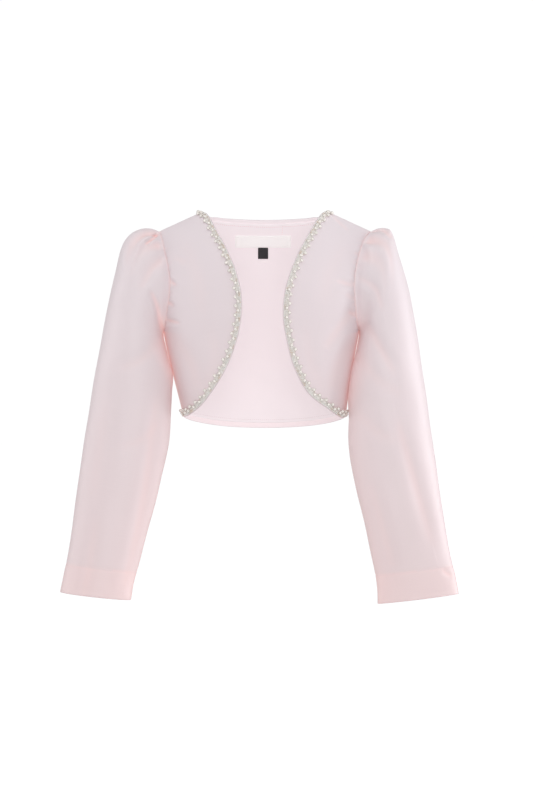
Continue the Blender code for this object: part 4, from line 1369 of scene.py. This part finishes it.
# %% Braid, beads and pearls
TRIM_NEAR, TRIM_FAR, SCALLOP, BRAID_HEIGHT = 0.9, 5.8, 2.6, 0.7
PEARL_PITCH, PEARL_RADIUS = 11.8, 2.15
INNER_ROW, OUTER_ROW = 4.4, 7.8
PEARL_START = {LEFT: 7.0, RIGHT: 6.0}
TIP_SHARE, TIP_REACH = 0.6, 9.0
PAST_SHOULDER, SHORT_OF_SEAM, TRIM_LIFT = -0.6, 3.8, 0.3
LAST_PEARL_BEFORE, BODY_SEAM_FROM, PEARL_SEAT = 5.5, 20.0, 0.55
BRAID_GRID, THINNEST = (320, 9), 0.4


def on_front(side, along, distance, lift):
    """Points that lie this far in from a front edge, lifted off the dressed cloth."""
    along = np.asarray(along, float)
    angle, fall = EDGES[side].inside(np.maximum(along, 0.0), distance)
    fall = fall + np.minimum(along, 0.0)
    points, normals = over_shoulder(side, angle, fall)
    relief, _ = front_relief(side, points, normals)
    relief = relief * stepped(along / CALM_BY_SHOULDER)
    points = points + normals * (relief + lift)[..., None]
    flush = np.where(along > BODY_SEAM_FROM, -2 * SEAM_GAP, np.inf)
    points[:, 1] = np.minimum(points[:, 1], flush)
    return points, normals


def near_pearl(side, along):
    """1 beside a pearl of the outer row and 0 half way to the next."""
    return 0.5 + 0.5 * np.cos((along - PEARL_START[side]) / PEARL_PITCH * 2 * math.pi)


def far_edge(side, along, scallop):
    """How far in the braid reaches: out to each pearl of the outer row, and less at the tip."""
    tip = TIP_SHARE + (1 - TIP_SHARE) * stepped(along / TIP_REACH)
    return (TRIM_FAR + scallop * near_pearl(side, along)) * tip


def make_braid(side):
    """The woven ground of the trim: domed across, and scalloped where it holds a pearl."""
    along = np.linspace(PAST_SHOULDER, EDGES[side].length - SHORT_OF_SEAM, BRAID_GRID[0])
    shares = np.linspace(0, 1, BRAID_GRID[1])
    far = far_edge(side, along, SCALLOP)
    dome = np.sin((0.06 + 0.88 * shares) * math.pi)
    lifts = TRIM_LIFT + BRAID_HEIGHT * (THINNEST + (1 - THINNEST) * dome)
    columns = [
        on_front(side, along, TRIM_NEAR + (far - TRIM_NEAR) * share, lift)
        for share, lift in zip(shares, lifts)
    ]
    points, normals = (np.stack(grid, axis=1) for grid in zip(*columns))
    wall = BRAID_HEIGHT * THINNEST
    made = ("braid_" + SIDES[side], points, normals, wall, (gimp, gimp))
    return cloth_piece(*made, hems=EVERY_EDGE)


def make_trim(side):
    """Braid with its beads and pearls. The list starts with the braid."""
    name = SIDES[side]
    length = EDGES[side].length
    lift = TRIM_LIFT + BRAID_HEIGHT
    fine = np.linspace(PAST_SHOULDER, length - SHORT_OF_SEAM - 0.5, 460)
    pieces = [make_braid(side)]
    far = far_edge(side, fine, SCALLOP - 0.6)
    rows = {
        "edge_beads_": (TRIM_NEAR + 0.7, 0.15, 2.1, 0.95, 3),
        "second_beads_": (TRIM_NEAR + 2.3, 0.35, 2.3, 0.85, 5),
        "scallop_beads_": (far, 0.0, 2.0, 0.75, 7),
    }
    for tag, (distance, raised, pitch, radius, seed) in rows.items():
        line = on_front(side, fine, distance, lift + raised)[0]
        pieces.append(row_along(tag + name, [line], bead, pitch, radius, 0.9, 0.3, seed))
    across = np.linspace(TRIM_NEAR, TRIM_FAR + 1.5, 12)
    end = [on_front(side, np.array([length - SHORT_OF_SEAM]), d, lift)[0][0] for d in across]
    pieces.append(row_along("end_beads_" + name, [end], bead, 1.7, 1.0, 1.0, 0.3, 15))
    rows = {"outer_pearls_": (OUTER_ROW, 0.0), "inner_pearls_": (INNER_ROW, PEARL_PITCH / 2)}
    for tag, (row, before) in rows.items():
        start, end = PEARL_START[side] - before, length - LAST_PEARL_BEFORE
        seats = np.arange(start, end, PEARL_PITCH)
        seats = seats[seats > 1.0]
        middles = on_front(side, seats, row, lift + PEARL_RADIUS * PEARL_SEAT)[0]
        lines = [[middle, middle + np.array([0.0, 0.0, 0.02])] for middle in middles]
        pieces.append(row_along(tag + name, lines, pearl, 1.0, PEARL_RADIUS, 1.0, 0.08, 9, rings=9))
    return pieces


trims = {side: make_trim(side) for side in SIDES}

# %% [markdown]
# ## Label and size tab
# A woven label is folded under at both ends and sewn to the lining below the neck, with a
# small dark tab under it. Both are left bare. They are laid on the lining by dropping rays
# onto it, so they take its curve.

# %% Label and size tab
from mathutils import Vector
from mathutils.bvhtree import BVHTree

Patch = namedtuple("Patch", "middle width top height wall folded")
LABEL = Patch(-2.5, 70.0, 27.5, 13.5, 0.7, folded=0.35)
TAB = Patch(-2.5, 12.5, 41.8, 13.7, 0.5, folded=0.0)


def make_patch(name, size, finish, cells):
    """A small piece of woven tape that lies on the lining."""
    ground = BVHTree.FromObject(back_lining, bpy.context.evaluated_depsgraph_get())
    xs = size.middle + size.width * (np.linspace(0, 1, cells[1]) - 0.5)
    zs = -size.top - size.height * np.linspace(0, 1, cells[0])
    points, ways = np.empty((2, *cells, 3))
    for r, z in enumerate(zs):
        for c, x in enumerate(xs):
            hit, way, _, _ = ground.ray_cast(Vector((x, 0.0, z)) * MM, Vector((0.0, 1.0, 0.0)))
            way = np.array(way) * (-1 if way.y > 0 else 1)
            from_end = min(c, cells[1] - 1 - c) / (cells[1] - 1) * size.width
            fold_over = size.folded * (1 - stepped((from_end - 4.0) / 1.2))
            points[r, c] = np.array(hit) / MM + way * (0.2 + size.wall + fold_over)
            ways[r, c] = way
    return cloth_piece(name, points, ways, size.wall, (finish, finish), hems=EVERY_EDGE)


label = make_patch("woven_label", LABEL, label_tape, (12, 60))
tab = make_patch("woven_tab", TAB, tab_tape, (12, 12))

# %% [markdown]
# ## Stitches
# The cuffs are turned up and sewn with a short stitch, and the lining is caught down along
# the back's neck and hem. The stitches are thread, so they are long thin balls on a line.

# %% Stitches
THREAD_DARK, THREAD_LIGHT = (0.70, 0.56, 0.58, 1), (0.80, 0.68, 0.70, 1)
STITCHED_TO_RIGHT = 22.0
thread_finish = Finish("pink_thread", roughness=0.5)
tone = thread_finish.noise(thread_finish.place(), 400.0)
thread_finish.feed("Base Color", thread_finish.mix(tone, THREAD_DARK, THREAD_LIGHT))
thread = thread_finish.material


def cuff_line(side):
    """The line of stitches round a cuff."""
    points, normals = sleeve_points[side]
    from_seam = lengths_along(points, 0)
    from_cuff = from_seam[-1] - from_seam
    row = np.abs(from_cuff - HEM_ABOVE_CUFF).argmin(axis=0)
    columns = np.arange(points.shape[1])
    line = points[row, columns] + normals[row, columns] * 0.05
    return np.append(line, line[:1], axis=0)


def lining_lines():
    """Lines along the lining's neck and hem, and a short upright one beside the label."""
    inside = lining_points - lining_normals * (LINING_WALL + 0.05)
    column = np.abs(lining_points[2, :, 0] - STITCHED_TO_RIGHT).argmin()
    return inside[2, 4:-4], inside[-3, 4:-4], inside[2:12, column]


def stitched(name, lines, radius, seed):
    return row_along("stitches_" + name, lines, thread, 2.6, radius, 4.6, 0.15, seed, 5)


cuff_stitches = {
    side: stitched("cuff_" + name, [cuff_line(side)], 0.22, 11) for side, name in SIDES.items()
}
lining_stitches = stitched("lining", lining_lines(), 0.2, 13)

# %% [markdown]
# ## What rides on what
# The jacket has no joint, so every piece rides on the one body. Each dressed piece stands in
# for its solid, and each sheet prints the flat size it was cut to. A braid's width is stated
# as the least that the tool takes, 10 mm, although it is narrower.


# %% What rides on what
def settle(piece, nodes):
    """Sets a piece on the body and in place of its solids."""
    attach(piece, "root")
    if nodes:
        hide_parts(*nodes)


def declare(piece):
    """Prints a sheet's flat size and its area. Half of its surface is its area."""
    width, length = FLAT[piece.name]
    area = min(sum(face.area for face in piece.data.polygons) / 2, width * length)
    print(piece.name, "flat", width, length, "area", round(area, 4))


FLAT = {
    "satin_front_left": (0.134, 0.325),
    "satin_front_right": (0.132, 0.338),
    "satin_back": (0.335, 0.296),
    "lining_of_back": (0.309, 0.282),
    "satin_sleeve_left": (0.348, 0.500),
    "satin_sleeve_right": (0.351, 0.487),
    "woven_label": (0.070, 0.0135),
    "woven_tab": (0.0125, 0.0137),
    "braid_left": (0.010, 0.357),
    "braid_right": (0.010, 0.368),
}
for side, name in SIDES.items():
    settle(fronts[side], ["front_" + name])
    settle(sleeves[side], ["sleeve_" + name])
    for piece in trims[side]:
        settle(piece, ["trim_" + name])
    settle(cuff_stitches[side], [])
settle(back, ["back"])
settle(back_lining, ["back_lining"])
settle(lining_stitches, [])
settle(label, ["neck_label"])
settle(tab, ["size_tab"])
for side, name in SIDES.items():
    declare(fronts[side])
    declare(sleeves[side])
    declare(trims[side][0])
declare(back)
declare(back_lining)
declare(label)
declare(tab)

# %% The frame's checks
dressed_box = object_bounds()
for end, solid, dressed in zip(("low", "high"), cad_box, dressed_box):
    print("grown by", [round((b - a) / MM, 1) for a, b in zip(solid, dressed)], "mm", end)
